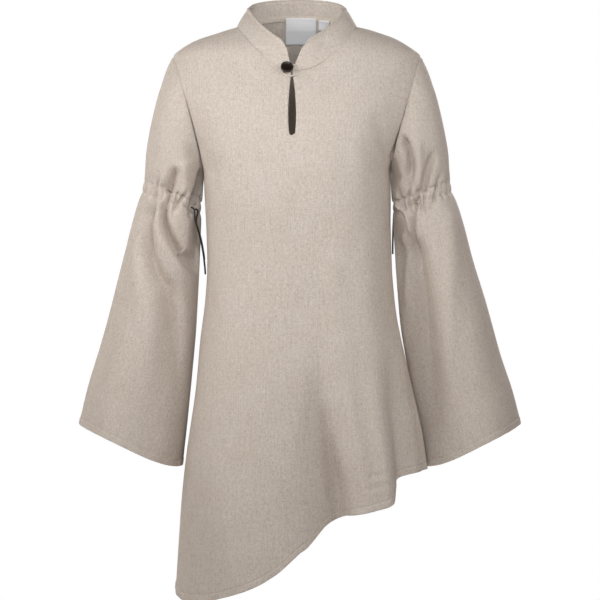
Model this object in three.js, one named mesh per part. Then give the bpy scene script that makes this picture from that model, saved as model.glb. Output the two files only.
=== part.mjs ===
import * as THREE from 'three';

// A linen tunic blouse, filled out as if worn, in millimetres. +Z is up, the front faces -Y and
// +X is the wearer's left. The origin lies between the two points where the shoulder seams meet
// the collar. Each piece of cloth is a thin closed wall around an empty garment.

// ---- driving sizes -------------------------------------------------------------------------

const LINEN = 1.6;              // wall of one layer of linen with its turnings
const DOUBLE_LINEN = 2.4;       // the collar is two layers
const LABEL_CLOTH = 1;
const SEAM_GAP = 0.3;           // room left between two pieces that are sewn together
const NECK_GAP = 0.6;           // more at the neck, where the seam bends and its flats come closer

const BUST_Z = -235;            // level of the underarm points
const SHOULDER_TIP_Z = -48.6;
const UNDERARM_X = 150;
const SHOULDER_TIP_X = 200;
const ARMHOLE_HALF_DEPTH = 60;
const ARMHOLE_HOLLOW = 1.25;    // above 1, the armhole is scooped in towards the body
const SECTION_POWER = 2.3;      // 2 is an ellipse, more is boxier

const NECK_HALF_WIDTH = 97;
const FRONT_NECK_Z = -77.6;
const BACK_NECK_Z = 17;

const OPENING_X = -7.6;         // centre of the front opening, a little to the wearer's right
const SLIT_BOTTOM_Z = -181.6;

// Level sections of the body, from the nape down to below the longest point of the hem.
const BODY_SECTIONS = [
  { z: 17, halfWidth: 66, front: 36, back: 60, lean: 0 },
  { z: 8, halfWidth: 84, front: 38, back: 63, lean: 0 },
  { z: 0, halfWidth: 97, front: 42, back: 66, lean: 0 },
  { z: -5, halfWidth: 115, front: 47, back: 69, lean: 0 },
  { z: -21, halfWidth: 160, front: 61, back: 76, lean: 0 },
  { z: -37, halfWidth: 189, front: 74, back: 82, lean: 0 },
  { z: -48.6, halfWidth: 200, front: 80, back: 86, lean: 0 },
  { z: -78, halfWidth: 200, front: 91, back: 94, lean: 0 },
  { z: -110, halfWidth: 190, front: 104, back: 101, lean: 0 },
  { z: -150, halfWidth: 175, front: 118, back: 106, lean: 0 },
  { z: -190, halfWidth: 160, front: 127, back: 109, lean: 0 },
  { z: -235, halfWidth: 150, front: 131, back: 109, lean: 0 },
  { z: -260, halfWidth: 150.5, front: 130, back: 107, lean: 1 },
  { z: -330, halfWidth: 148.5, front: 124, back: 103, lean: 3 },
  { z: -380, halfWidth: 149, front: 121, back: 104, lean: 4 },
  { z: -442, halfWidth: 153, front: 122, back: 108, lean: 5 },
  { z: -507, halfWidth: 161.5, front: 128, back: 116, lean: 6 },
  { z: -604, halfWidth: 174.5, front: 138, back: 128, lean: 8.5 },
  { z: -714, halfWidth: 190, front: 147, back: 140, lean: 8.5 },
  { z: -930, halfWidth: 210, front: 163, back: 158, lean: 12 },
];

// The hem falls from short on the wearer's left to long on the right. Angles go round the body
// from -90 at the wearer's right side seam, through 0 at the centre, to 90 at the left one.
const FRONT_HEM = [
  { angle: -90, z: -905 },
  { angle: -64, z: -918 },
  { angle: -46, z: -916 },
  { angle: -32, z: -906 },
  { angle: -20, z: -892 },
  { angle: -10, z: -871 },
  { angle: 0, z: -834 },
  { angle: 9, z: -797 },
  { angle: 16, z: -785 },
  { angle: 32, z: -771 },
  { angle: 41, z: -762 },
  { angle: 49, z: -733 },
  { angle: 58, z: -721 },
  { angle: 74, z: -713 },
  { angle: 90, z: -712 },
];
const BACK_HEM = [
  { angle: -90, z: -905 },
  { angle: -60, z: -912 },
  { angle: -30, z: -888 },
  { angle: 0, z: -828 },
  { angle: 30, z: -765 },
  { angle: 60, z: -726 },
  { angle: 90, z: -712 },
];

// Standing folds of the skirt. Each starts at startZ and is at its full depth at fullZ; depth
// is outwards, and spread is the angle over which it dies away.
const BODY_FOLDS = [
  { side: -1, angle: 12, spread: 12, depth: -18, startZ: -500, fullZ: -800 },
  { side: -1, angle: 40, spread: 9, depth: 14, startZ: -480, fullZ: -760 },
  { side: -1, angle: 55, spread: 8, depth: -14, startZ: -480, fullZ: -740 },
  { side: -1, angle: 74, spread: 11, depth: 18, startZ: -400, fullZ: -700 },
  { side: -1, angle: -30, spread: 18, depth: 7, startZ: -520, fullZ: -880 },
  { side: 1, angle: -48, spread: 12, depth: 12, startZ: -480, fullZ: -860 },
  { side: 1, angle: -22, spread: 11, depth: -12, startZ: -500, fullZ: -860 },
  { side: 1, angle: 6, spread: 12, depth: 11, startZ: -480, fullZ: -820 },
  { side: 1, angle: 34, spread: 11, depth: -12, startZ: -520, fullZ: -780 },
  { side: 1, angle: 60, spread: 11, depth: 9, startZ: -500, fullZ: -740 },
];

// Half width of the keyhole slit below the collar.
const SLIT = [
  { z: SLIT_BOTTOM_Z, halfWidth: 1.8 },
  { z: -172, halfWidth: 4.6 },
  { z: -160, halfWidth: 6.3 },
  { z: -145, halfWidth: 6.7 },
  { z: -110, halfWidth: 4.8 },
  { z: -89, halfWidth: 2.8 },
  { z: FRONT_NECK_Z, halfWidth: 1.8 },
];

// Top edge of the collar. turn is 0 at the side of the neck and 90 at its centre.
const COLLAR_TOP_FRONT = [
  { turn: 0, x: 79, y: 0, z: 31 },
  { turn: 18, x: 73, y: -22, z: 21 },
  { turn: 38, x: 59, y: -46, z: 3 },
  { turn: 58, x: 41, y: -66, z: -14 },
  { turn: 76, x: 25, y: -78, z: -26 },
  { turn: 90, x: 17, y: -81, z: -31 },
];
const COLLAR_TOP_BACK = [
  { turn: 0, x: 79, y: 0, z: 31 },
  { turn: 30, x: 71, y: 27, z: 40 },
  { turn: 60, x: 44, y: 45, z: 47.5 },
  { turn: 90, x: 0, y: 52, z: 51 },
];
const COLLAR_OPENING_SHIFT = -3;
const COLLAR_CORNER_DROP = 5;
const COLLAR_ROWS = 3;

// Sections of a sleeve, each by its outer and inner point seen from the front. innerX is held
// clear of the body, which swings out further on the wearer's left. gather is the height of the
// gathers there.
const UPPER_SLEEVE = [
  { outerX: 200, outerZ: -48.6, innerX: 150, innerZ: -235, depth: 60, gather: 0 },
  { outerX: 210, outerZ: -66, innerX: 150.9, innerZ: -243, depth: 63, gather: 0 },
  { outerX: 221, outerZ: -97, innerX: 151.8, innerZ: -251, depth: 64, gather: 0 },
  { outerX: 231, outerZ: -132, innerX: 152.7, innerZ: -259, depth: 62, gather: 0 },
  { outerX: 239, outerZ: -170, innerX: 153.4, innerZ: -267, depth: 59, gather: 0.6 },
  { outerX: 244.5, outerZ: -208, innerX: 154, innerZ: -275, depth: 56, gather: 1.6 },
  { outerX: 246, outerZ: -235, innerX: 154.6, innerZ: -281, depth: 53.5, gather: 3 },
  { outerX: 247, outerZ: -250, innerX: 156.4, innerZ: -284, depth: 50, gather: 2.2 },
];
const CASING = [
  { outerX: 247, outerZ: -250.4, innerX: 156.4, innerZ: -284.4, depth: 50, gather: 1.6 },
  { outerX: 250, outerZ: -258.5, innerX: 155.9, innerZ: -292.5, depth: 51, gather: 1.3 },
  { outerX: 250, outerZ: -266.8, innerX: 157, innerZ: -301, depth: 50, gather: 1.6 },
];
// sag is how far the front of a section droops.
const LOWER_SLEEVE = [
  { outerX: 250, outerZ: -267.2, innerX: 157, innerZ: -301.4, depth: 50, y: 0, gather: 2.4 },
  { outerX: 256, outerZ: -281, innerX: 155.8, innerZ: -313, depth: 56, y: 1, gather: 4 },
  { outerX: 265.6, outerZ: -312, innerX: 156.5, innerZ: -344, depth: 60, y: 3, gather: 3 },
  { outerX: 278.6, outerZ: -361, innerX: 158.5, innerZ: -398, depth: 64, y: 6, gather: 1.6 },
  { outerX: 299.7, outerZ: -442, innerX: 163, innerZ: -480, depth: 69, y: 10, gather: 0.6, sag: 1 },
  { outerX: 322.3, outerZ: -523, innerX: 170.5, innerZ: -562, depth: 73, y: 14, gather: 0, sag: 3 },
  { outerX: 342.5, outerZ: -590, innerX: 178.5, innerZ: -640, depth: 77, y: 18, gather: 0, sag: 6 },
  { outerX: 355.5, outerZ: -642, innerX: 186, innerZ: -707, depth: 80, y: 20, gather: 0, sag: 9 },
];
// How much further out the left sleeve hangs at each of those sections.
const LEFT_SWING = [
  { inner: 0, outer: 0 },
  { inner: 0, outer: 1 },
  { inner: 1, outer: 2 },
  { inner: 2.5, outer: 3.3 },
  { inner: 5, outer: 6.5 },
  { inner: 11, outer: 6.8 },
  { inner: 16, outer: 8.5 },
  { inner: 18.5, outer: 9.5 },
];
const SAG_TURN = 55;
const SAG_SPREAD = 45;
const GATHERS = 14;

// Long soft folds of a lower sleeve. turn goes round from 0 at the inner side through 90 at the
// front, 180 at the outer side and 270 at the back.
const SLEEVE_FOLDS = [
  { turn: 62, spread: 22, depth: -5 },
  { turn: 112, spread: 24, depth: 5 },
  { turn: 160, spread: 20, depth: -3 },
  { turn: 218, spread: 22, depth: 4 },
  { turn: 262, spread: 22, depth: -5 },
  { turn: 308, spread: 24, depth: 4 },
];
const FOLD_START_Z = -300;
const FOLD_FULL_Z = -600;

// Grid of the walls.
const HALF_COLUMNS = 11;        // columns of a panel on each side of the centre
const SHOULDER_COLUMNS = 4;     // of these, the ones that end at the shoulder seam
const ARMHOLE_ROWS = 14;
const SKIRT_ROWS = 10;
const NECK_STEPS = HALF_COLUMNS - SHOULDER_COLUMNS;
const ROW_EASE = 1.05;          // puts one row of the front at the foot of the slit
const CENTRE_STRIP = 1.3;       // half angle of the narrow column that the slit lies in

// Button and loop.
const BUTTON_RADIUS = 9.8;
const BUTTON_THICKNESS = 4.2;
const SHANK_RADIUS = 1.8;
const SHANK_LENGTH = 4.2;
const BUTTON_PLACE = new THREE.Vector3(-16.4, -92, -76.5);
const BUTTON_TIP_UP = 24;       // degrees
const BUTTON_TURN = -8;
const LOOP_RADIUS = 1.3;
const LOOP_CLEARANCE = 0.5;
const COLLAR_LEAN = 0.2;        // how fast the front of the collar leans back as it rises
// The loop's route over the front: from the left edge, behind the button's head and back.
const LOOP_ROUTE = [
  { x: -2, z: -70.4 },
  { x: -9, z: -69.2 },
  { x: -16, z: -69.6 },
  { x: -22, z: -74.4 },
  { x: -22.6, z: -81 },
  { x: -17.5, z: -86.4 },
  { x: -10.5, z: -88 },
  { x: -3.4, z: -86.6 },
];

// Labels inside the back of the neck.
// standOff clears the flats of the wall behind a label; top and bottom are from the neck seam.
const NECK_LABEL = { left: -18, right: 31, top: 3.6, bottom: -38, columns: 6, rows: 5, standOff: 2.4 };
const SIZE_TAB = { left: 36, right: 52, top: 2, bottom: -14, columns: 2, rows: 3, standOff: 3.7 };

// Drawstrings: the two free ends at each casing. Each starts square to the casing, just above its
// lower edge, and turns down. The right ones leave it at the front and pass between sleeve and
// body; the left ones leave it at the back and hang there.
const CORD_RADIUS = 1.5;
const CORD_SIDES = 8;
const CORD_STEPS = 20;
const RIGHT_CORD_1 = [
  [-169.9, -35.9, -293.5],
  [-168.6, -36.7, -293.7],
  [-166.5, -38, -294.4],
  [-165, -39, -296.2],
  [-164.4, -39.4, -298.8],
  [-164.2, -40, -303],
  [-164, -40.8, -308],
  [-163.4, -41.2, -314],
  [-161.6, -39.8, -321],
  [-158.8, -35.4, -330],
  [-156, -29, -340.5],
  [-153.9, -22.4, -350.5],
  [-152.2, -14.6, -361],
  [-150.8, -5.6, -372],
  [-149.9, 4, -383],
  [-149.3, 13, -393],
  [-149.2, 19, -399.5],
];
const RIGHT_CORD_2 = [
  [-163.4, -27, -295.9],
  [-162.2, -27.9, -296.1],
  [-160.4, -29.5, -296.8],
  [-159.2, -30.8, -298.6],
  [-159, -31.8, -301.4],
  [-160.2, -33.6, -305.5],
  [-161.5, -35.3, -310.5],
  [-161.9, -35.8, -316],
  [-160.6, -33.9, -323],
  [-158, -29.8, -331],
  [-155.4, -23.9, -340],
  [-153.5, -17.4, -349.5],
  [-151.9, -9.6, -360],
  [-150.7, -2.2, -369],
  [-150.1, 3.4, -375.5],
];
const LEFT_CORD_1 = [
  [169.9, 35.9, -293.5],
  [168.6, 36.7, -293.7],
  [166.5, 38, -294.4],
  [165, 39, -296.2],
  [164.4, 39.4, -298.8],
  [164.2, 40, -303],
  [164, 41, -308.5],
  [163.8, 42.2, -315],
  [163.5, 43.2, -323],
  [163.3, 43.8, -332],
  [163.1, 44.2, -342],
  [163, 44.4, -353],
  [163, 44.6, -365],
  [163, 44.8, -378],
  [163.1, 45, -391],
];
const LEFT_CORD_2 = [
  [163.4, 27, -295.9],
  [162.2, 27.9, -296.1],
  [160.3, 29.5, -296.8],
  [158.9, 30.6, -298.6],
  [158.3, 31, -301.2],
  [158, 31.4, -305.5],
  [157.7, 31.9, -311],
  [157.3, 32.6, -318],
  [157, 33.2, -326],
  [156.7, 33.8, -335],
  [156.5, 34.2, -345],
  [156.4, 34.6, -356],
  [156.4, 34.8, -367],
];

const COLOURS = {
  linen: 0xc4b8a8,
  button: 0x2a1a12,
  label: 0xd9d9dc,
  cord: 0x17130f,
};

// ---- small helpers -------------------------------------------------------------------------

const radians = THREE.MathUtils.degToRad;
const lerp = THREE.MathUtils.lerp;

/** Reads one column of a table at a value of its key, along a smooth curve through the rows. */
function readTable(table, key, column, value) {
  const rising = table[table.length - 1][key] > table[0][key];
  let i = 0;
  while (i < table.length - 2 && (rising ? value > table[i + 1][key] : value < table[i + 1][key])) {
    i += 1;
  }
  const slope = (a, b) => (table[b][column] - table[a][column]) / (table[b][key] - table[a][key]);
  const tangent = (row) => {
    if (row === 0) return slope(0, 1);
    if (row === table.length - 1) return slope(row - 1, row);
    const before = slope(row - 1, row);
    const after = slope(row, row + 1);
    return before * after <= 0 ? 0 : (2 * before * after) / (before + after);
  };
  const span = table[i + 1][key] - table[i][key];
  const t = THREE.MathUtils.clamp((value - table[i][key]) / span, 0, 1);
  const t2 = t * t;
  const t3 = t2 * t;
  return (2 * t3 - 3 * t2 + 1) * table[i][column]
    + (t3 - 2 * t2 + t) * span * tangent(i)
    + (3 * t2 - 2 * t3) * table[i + 1][column]
    + (t3 - t2) * span * tangent(i + 1);
}

/** Fades from 0 at start to 1 at full. */
function fade(value, start, full) {
  return THREE.MathUtils.smoothstep((value - start) / (full - start), 0, 1);
}

/** Triangles of a grid of lines, each of `rows + 1` points. */
function gridTriangles(lines, rows, options = {}) {
  const { wrap = false, skip = () => false, flip = false } = options;
  const triangles = [];
  const columns = wrap ? lines : lines - 1;
  for (let column = 0; column < columns; column += 1) {
    const next = (column + 1) % lines;
    for (let row = 0; row < rows; row += 1) {
      if (skip(column, row)) continue;
      const a = column * (rows + 1) + row;
      const b = next * (rows + 1) + row;
      triangles.push([a, b, b + 1], [a, b + 1, a + 1]);
    }
  }
  return flip ? triangles.map(([a, b, c]) => [a, c, b]) : triangles;
}

/** Outward normals at the points of an open surface. */
function surfaceNormals(points, triangles) {
  const normals = points.map(() => new THREE.Vector3());
  for (const [a, b, c] of triangles) {
    const across = points[b].clone().sub(points[a]);
    const along = points[c].clone().sub(points[a]);
    const face = across.cross(along);
    for (const corner of [a, b, c]) normals[corner].add(face);
  }
  return normals.map((normal) => normal.normalize());
}

/** Closed wall: the outer surface, the same surface moved in, and a rim along every free edge. */
function clothWall(points, triangles, normals, thickness) {
  const inner = points.length;
  const positions = [];
  for (const point of points) positions.push(point.x, point.y, point.z);
  points.forEach((point, i) => {
    const moved = point.clone().addScaledVector(normals[i], -thickness);
    positions.push(moved.x, moved.y, moved.z);
  });
  const faces = [];
  const edges = new Set();
  for (const [a, b, c] of triangles) {
    faces.push(a, b, c, inner + a, inner + c, inner + b);
    for (const [from, to] of [[a, b], [b, c], [c, a]]) edges.add(`${from},${to}`);
  }
  for (const edge of edges) {
    const [from, to] = edge.split(',').map(Number);
    if (edges.has(`${to},${from}`)) continue;
    faces.push(to, from, inner + from, to, inner + from, inner + to);
  }
  const used = new Map();
  const kept = [];
  const index = faces.map((vertex) => {
    if (!used.has(vertex)) {
      used.set(vertex, used.size);
      kept.push(...positions.slice(3 * vertex, 3 * vertex + 3));
    }
    return used.get(vertex);
  });
  const geometry = new THREE.BufferGeometry();
  geometry.setAttribute('position', new THREE.Float32BufferAttribute(kept, 3));
  geometry.setIndex(index);
  geometry.computeVertexNormals();
  return geometry;
}

const group = new THREE.Group();

function addMesh(name, geometry, colour, roughness) {
  const material = new THREE.MeshStandardMaterial({ color: colour, roughness, metalness: 0 });
  const mesh = new THREE.Mesh(geometry, material);
  mesh.name = name;
  group.add(mesh);
  return mesh;
}

// ---- body ----------------------------------------------------------------------------------

/** Point of the armhole seam; turn is 0 at the underarm and 180 at the shoulder tip. */
function armholePoint(side, turn) {
  const rise = (1 - Math.cos(radians(turn))) / 2;
  return new THREE.Vector3(
    lerp(UNDERARM_X, SHOULDER_TIP_X, rise ** ARMHOLE_HOLLOW),
    side * ARMHOLE_HALF_DEPTH * Math.sin(radians(turn)),
    lerp(BUST_Z, SHOULDER_TIP_Z, rise),
  );
}

function bodyDepth(side, z) {
  return readTable(BODY_SECTIONS, 'z', side < 0 ? 'front' : 'back', z);
}

/** Half width of a section. Beside the armhole it is the width whose curve meets the seam. */
function bodyHalfWidth(side, z) {
  if (z <= BUST_Z || z >= SHOULDER_TIP_Z) return readTable(BODY_SECTIONS, 'z', 'halfWidth', z);
  const rise = (z - BUST_Z) / (SHOULDER_TIP_Z - BUST_Z);
  const seam = armholePoint(side, THREE.MathUtils.radToDeg(Math.acos(1 - 2 * rise)));
  const forward = Math.abs(seam.y) / bodyDepth(side, z);
  return seam.x / (1 - forward ** SECTION_POWER) ** (1 / SECTION_POWER);
}

/** Point of the body at a place seen from the front. */
function bodyAt(side, x, z) {
  const share = Math.min(1, Math.abs(x) / bodyHalfWidth(side, z));
  const y = side * bodyDepth(side, z) * (1 - share ** SECTION_POWER) ** (1 / SECTION_POWER);
  return new THREE.Vector3(x, y, z);
}

function foldHeight(side, angle, z) {
  let height = 0;
  for (const fold of BODY_FOLDS) {
    if (fold.side !== side) continue;
    const reach = (angle - fold.angle) / fold.spread;
    height += fold.depth * Math.exp(-reach * reach) * fade(z, fold.startZ, fold.fullZ);
  }
  return height;
}

/** Point of the body at an angle round a level section, with its folds. */
function bodyRound(side, angle, z) {
  const sine = Math.sin(radians(angle));
  const cosine = Math.abs(Math.cos(radians(angle)));
  const bend = 2 / SECTION_POWER;
  const halfWidth = bodyHalfWidth(side, z);
  const depth = bodyDepth(side, z);
  const lean = readTable(BODY_SECTIONS, 'z', 'lean', z);
  const point = new THREE.Vector3(
    lean + halfWidth * Math.sign(sine) * Math.abs(sine) ** bend,
    side * depth * cosine ** bend,
    z,
  );
  const outward = new THREE.Vector3(sine / halfWidth, (side * cosine) / depth, 0).normalize();
  const seamHold = fade(90 - Math.abs(angle), 0, 12);
  return point.addScaledVector(outward, foldHeight(side, angle, z) * seamHold);
}

/** Angles of a panel's lines. The front has a narrow centre column for its slit. */
function panelAngles(side) {
  const angles = [];
  const slope = Math.asin((Math.abs(OPENING_X) / UNDERARM_X) ** (SECTION_POWER / 2));
  const centre = side < 0 ? -THREE.MathUtils.radToDeg(slope) : 0;
  const strip = side < 0 ? CENTRE_STRIP : 0;
  for (let i = 0; i <= HALF_COLUMNS; i += 1) {
    angles.push(lerp(-90, centre - strip, i / HALF_COLUMNS));
  }
  for (let i = side < 0 ? 0 : 1; i <= HALF_COLUMNS; i += 1) {
    angles.push(lerp(centre + strip, 90, i / HALF_COLUMNS));
  }
  return angles;
}

/** Top edge of a panel half, line by line from the shoulder tip to the centre. */
function topEdge(side, hand, line) {
  if (line <= SHOULDER_COLUMNS) {
    const z = SHOULDER_TIP_Z * (1 - line / SHOULDER_COLUMNS) ** 1.3;
    return { x: hand * readTable(BODY_SECTIONS, 'z', 'halfWidth', z), z };
  }
  const turn = 90 * ((line - SHOULDER_COLUMNS) / NECK_STEPS);
  return neckEdge(side, hand, turn);
}

/** Neck seam; turn is 0 where it meets the shoulder seam and 90 at the centre. */
function neckEdge(side, hand, turn) {
  const centreX = side < 0 ? OPENING_X + hand * SLIT[SLIT.length - 1].halfWidth : 0;
  const x = lerp(centreX, hand * NECK_HALF_WIDTH, Math.cos(radians(turn)));
  const neckZ = side < 0 ? FRONT_NECK_Z : BACK_NECK_Z;
  return { x, z: neckZ * (1 - (x / NECK_HALF_WIDTH) ** 2) };
}

/** Outer surface of the front (side -1) or the back (side 1), from shoulder to hem. */
function panelSurface(side) {
  const angles = panelAngles(side);
  const lines = angles.length;
  const hem = side < 0 ? FRONT_HEM : BACK_HEM;
  const points = [];
  angles.forEach((angle, line) => {
    const hand = line < lines / 2 ? -1 : 1;
    const fromSide = Math.min(line, lines - 1 - line);
    const share = line / (lines - 1);
    const top = topEdge(side, hand, Math.min(fromSide, HALF_COLUMNS));
    const bust = bodyRound(side, angle, BUST_Z);
    for (let row = ARMHOLE_ROWS; row > 0; row -= 1) {
      const rise = (row / ARMHOLE_ROWS) ** ROW_EASE;
      const seam = armholePoint(side, (180 * row) / ARMHOLE_ROWS);
      const pull = Math.max(0, 1 - 2 * Math.min(share, 1 - share)) ** 1.5;
      const straightX = lerp(UNDERARM_X, SHOULDER_TIP_X, rise);
      const straightZ = lerp(BUST_Z, SHOULDER_TIP_Z, rise);
      let x = lerp(bust.x, top.x, rise) + pull * hand * (seam.x - straightX);
      const z = lerp(BUST_Z, top.z, rise) + pull * (seam.z - straightZ);
      if (side < 0 && z > SLIT_BOTTOM_Z - 30) {
        const nearSlit = Math.exp(-(((HALF_COLUMNS - fromSide) / 1.8) ** 2));
        const start = Math.abs(lerp(bust.x, top.x, rise) - OPENING_X);
        const opened = readTable(SLIT, 'z', 'halfWidth', Math.max(z, SLIT_BOTTOM_Z));
        const plain = HALF_COLUMNS === fromSide ? start : opened;
        x += hand * nearSlit * (opened - plain);
      }
      points.push(fromSide === 0 ? seam.setX(hand * seam.x) : bodyAt(side, x, z));
    }
    const hemZ = readTable(hem, 'angle', 'z', angle);
    for (let row = 0; row <= SKIRT_ROWS; row += 1) {
      points.push(bodyRound(side, angle, lerp(BUST_Z, hemZ, row / SKIRT_ROWS)));
    }
  });
  const rows = ARMHOLE_ROWS + SKIRT_ROWS;
  const slitColumn = HALF_COLUMNS;
  const skip = (column, row) => {
    if (side > 0 || column !== slitColumn) return false;
    return points[column * (rows + 1) + row + 1].z > SLIT_BOTTOM_Z - 0.5;
  };
  const triangles = gridTriangles(lines, rows, { skip, flip: side < 0 });
  return { side, points, triangles, lines, rows, normals: surfaceNormals(points, triangles) };
}

/** Index of a panel's point on its armhole edge, for a row counted up from the underarm. */
function armholeIndex(panel, hand, row) {
  const line = hand < 0 ? 0 : panel.lines - 1;
  return line * (panel.rows + 1) + ARMHOLE_ROWS - row;
}

// ---- sleeves -------------------------------------------------------------------------------

/** Height of the gathers round a ring; every other one stands a little lower. */
function gatherHeight(turn, height) {
  const uneven = 0.8 + 0.2 * Math.cos(radians(turn * 5 + 40));
  return height * uneven * Math.cos(radians(GATHERS * turn));
}

function sleeveFold(turn, z) {
  let height = 0;
  for (const fold of SLEEVE_FOLDS) {
    const reach = (turn - fold.turn) / fold.spread;
    height += fold.depth * Math.exp(-reach * reach);
  }
  return height * fade(z, FOLD_START_Z, FOLD_FULL_Z);
}

/** One ring of a sleeve. turn runs from the inner side over the front, outer side and back. */
function sleeveRing(section, segments, hand) {
  const outer = new THREE.Vector3(section.outerX, 0, section.outerZ);
  const inner = new THREE.Vector3(section.innerX, 0, section.innerZ);
  const centre = outer.clone().add(inner).multiplyScalar(0.5);
  const across = outer.clone().sub(inner).multiplyScalar(0.5);
  centre.y = section.y ?? 0;
  const halfWidth = across.length();
  const points = [];
  for (let i = 0; i < segments; i += 1) {
    const turn = (360 * i) / segments;
    const cosine = Math.cos(radians(turn));
    const sine = Math.sin(radians(turn));
    const clear = fade(Math.min(turn, 360 - turn), 0, 40);
    const wave = gatherHeight(turn, section.gather) * Math.max(clear, 0.25);
    const lift = wave + sleeveFold(turn, centre.z) * clear;
    const point = centre.clone()
      .addScaledVector(across, -cosine * (1 + lift / halfWidth));
    point.y -= sine * (section.depth + lift);
    point.z -= (section.sag ?? 0) * Math.exp(-(((turn - SAG_TURN) / SAG_SPREAD) ** 2));
    point.x *= hand;
    points.push(point);
  }
  return points;
}

/** Triangles between two rings, the second with as many points as the first, twice or half. */
function bandTriangles(first, firstCount, second, secondCount) {
  const triangles = [];
  const coarse = Math.min(firstCount, secondCount);
  const firstStep = firstCount / coarse;
  const secondStep = secondCount / coarse;
  for (let i = 0; i < coarse; i += 1) {
    const a = first + i * firstStep;
    const b = second + i * secondStep;
    const aNext = first + ((i + 1) * firstStep) % firstCount;
    const bNext = second + ((i + 1) * secondStep) % secondCount;
    if (firstStep === secondStep) {
      triangles.push([a, b, bNext], [a, bNext, aNext]);
    } else if (secondStep === 2) {
      triangles.push([a, b, b + 1], [a, b + 1, aNext], [aNext, b + 1, bNext]);
    } else {
      triangles.push([a, b, a + 1], [a + 1, b, bNext], [a + 1, bNext, aNext]);
    }
  }
  return triangles;
}

/** Tube of cloth through rings of points, listed from its top end to its open lower end. */
function tubeSurface(rings, hand) {
  const points = rings.flat();
  const starts = [];
  let count = 0;
  for (const ring of rings) {
    starts.push(count);
    count += ring.length;
  }
  let triangles = [];
  for (let i = 0; i + 1 < rings.length; i += 1) {
    triangles.push(...bandTriangles(starts[i], rings[i].length, starts[i + 1], rings[i + 1].length));
  }
  if (hand < 0) triangles = triangles.map(([a, b, c]) => [a, c, b]);
  return { points, triangles, starts, normals: surfaceNormals(points, triangles) };
}

/** Turns a ring's normals into its own plane, so that the next tube can meet it squarely. */
function squareRing(tube, ringIndex, ring) {
  const centre = new THREE.Vector3();
  for (const point of ring) centre.add(point);
  centre.divideScalar(ring.length);
  const axis = new THREE.Vector3();
  ring.forEach((point, i) => {
    const next = ring[(i + 1) % ring.length];
    axis.add(point.clone().sub(centre).cross(next.clone().sub(centre)));
  });
  axis.normalize();
  for (let i = 0; i < ring.length; i += 1) {
    const normal = tube.normals[tube.starts[ringIndex] + i];
    normal.addScaledVector(axis, -normal.dot(axis)).normalize();
  }
}

const ARMHOLE_SEGMENTS = 2 * ARMHOLE_ROWS;
const GATHER_SEGMENTS = 4 * GATHERS;

function upperSleeve(hand) {
  const rings = UPPER_SLEEVE.map((section, i) => (
    sleeveRing(section, i < 4 ? ARMHOLE_SEGMENTS : GATHER_SEGMENTS, hand)
  ));
  rings[0] = rings[0].map((_, i) => {
    const side = i <= ARMHOLE_ROWS ? -1 : 1;
    const turn = (360 * i) / ARMHOLE_SEGMENTS;
    const point = armholePoint(side, side < 0 ? turn : 360 - turn);
    return point.setX(hand * point.x);
  });
  const tube = tubeSurface(rings, hand);
  squareRing(tube, rings.length - 1, rings[rings.length - 1]);
  return tube;
}

function casing(hand) {
  const rings = CASING.map((section) => sleeveRing(section, GATHER_SEGMENTS, hand));
  const tube = tubeSurface(rings, hand);
  squareRing(tube, 0, rings[0]);
  squareRing(tube, rings.length - 1, rings[rings.length - 1]);
  return tube;
}

function lowerSleeve(hand) {
  const rings = LOWER_SLEEVE.map((section, i) => {
    const swing = hand > 0 ? LEFT_SWING[i] : LEFT_SWING[0];
    const placed = {
      ...section,
      innerX: section.innerX + swing.inner,
      outerX: section.outerX + swing.outer,
    };
    return sleeveRing(placed, i < 5 ? GATHER_SEGMENTS : ARMHOLE_SEGMENTS, hand);
  });
  const tube = tubeSurface(rings, hand);
  squareRing(tube, 0, rings[0]);
  return tube;
}

// ---- seams ---------------------------------------------------------------------------------

/**
 * Gives two edge points that meet at a seam one shared normal, and parts them by a gap, square to
 * the seam and to the cloth. pull turns the normal.
 */
function joinSeam(first, firstIndex, second, secondIndex, seam, crossing, gap, pull) {
  const normal = first.normals[firstIndex].clone().add(second.normals[secondIndex]);
  if (pull) normal.add(pull);
  normal.addScaledVector(seam, -normal.dot(seam)).normalize();
  first.normals[firstIndex].copy(normal);
  second.normals[secondIndex].copy(normal);
  const apart = squareTo(seam, normal, crossing);
  first.points[firstIndex].addScaledVector(apart, -gap / 2);
  second.points[secondIndex].addScaledVector(apart, gap / 2);
}

/** Direction square to a seam and to the cloth, on the side that the cloth crosses to. */
function squareTo(seam, normal, crossing) {
  const apart = seam.clone().cross(normal);
  return apart.dot(crossing) < 0 ? apart.negate() : apart;
}

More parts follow.
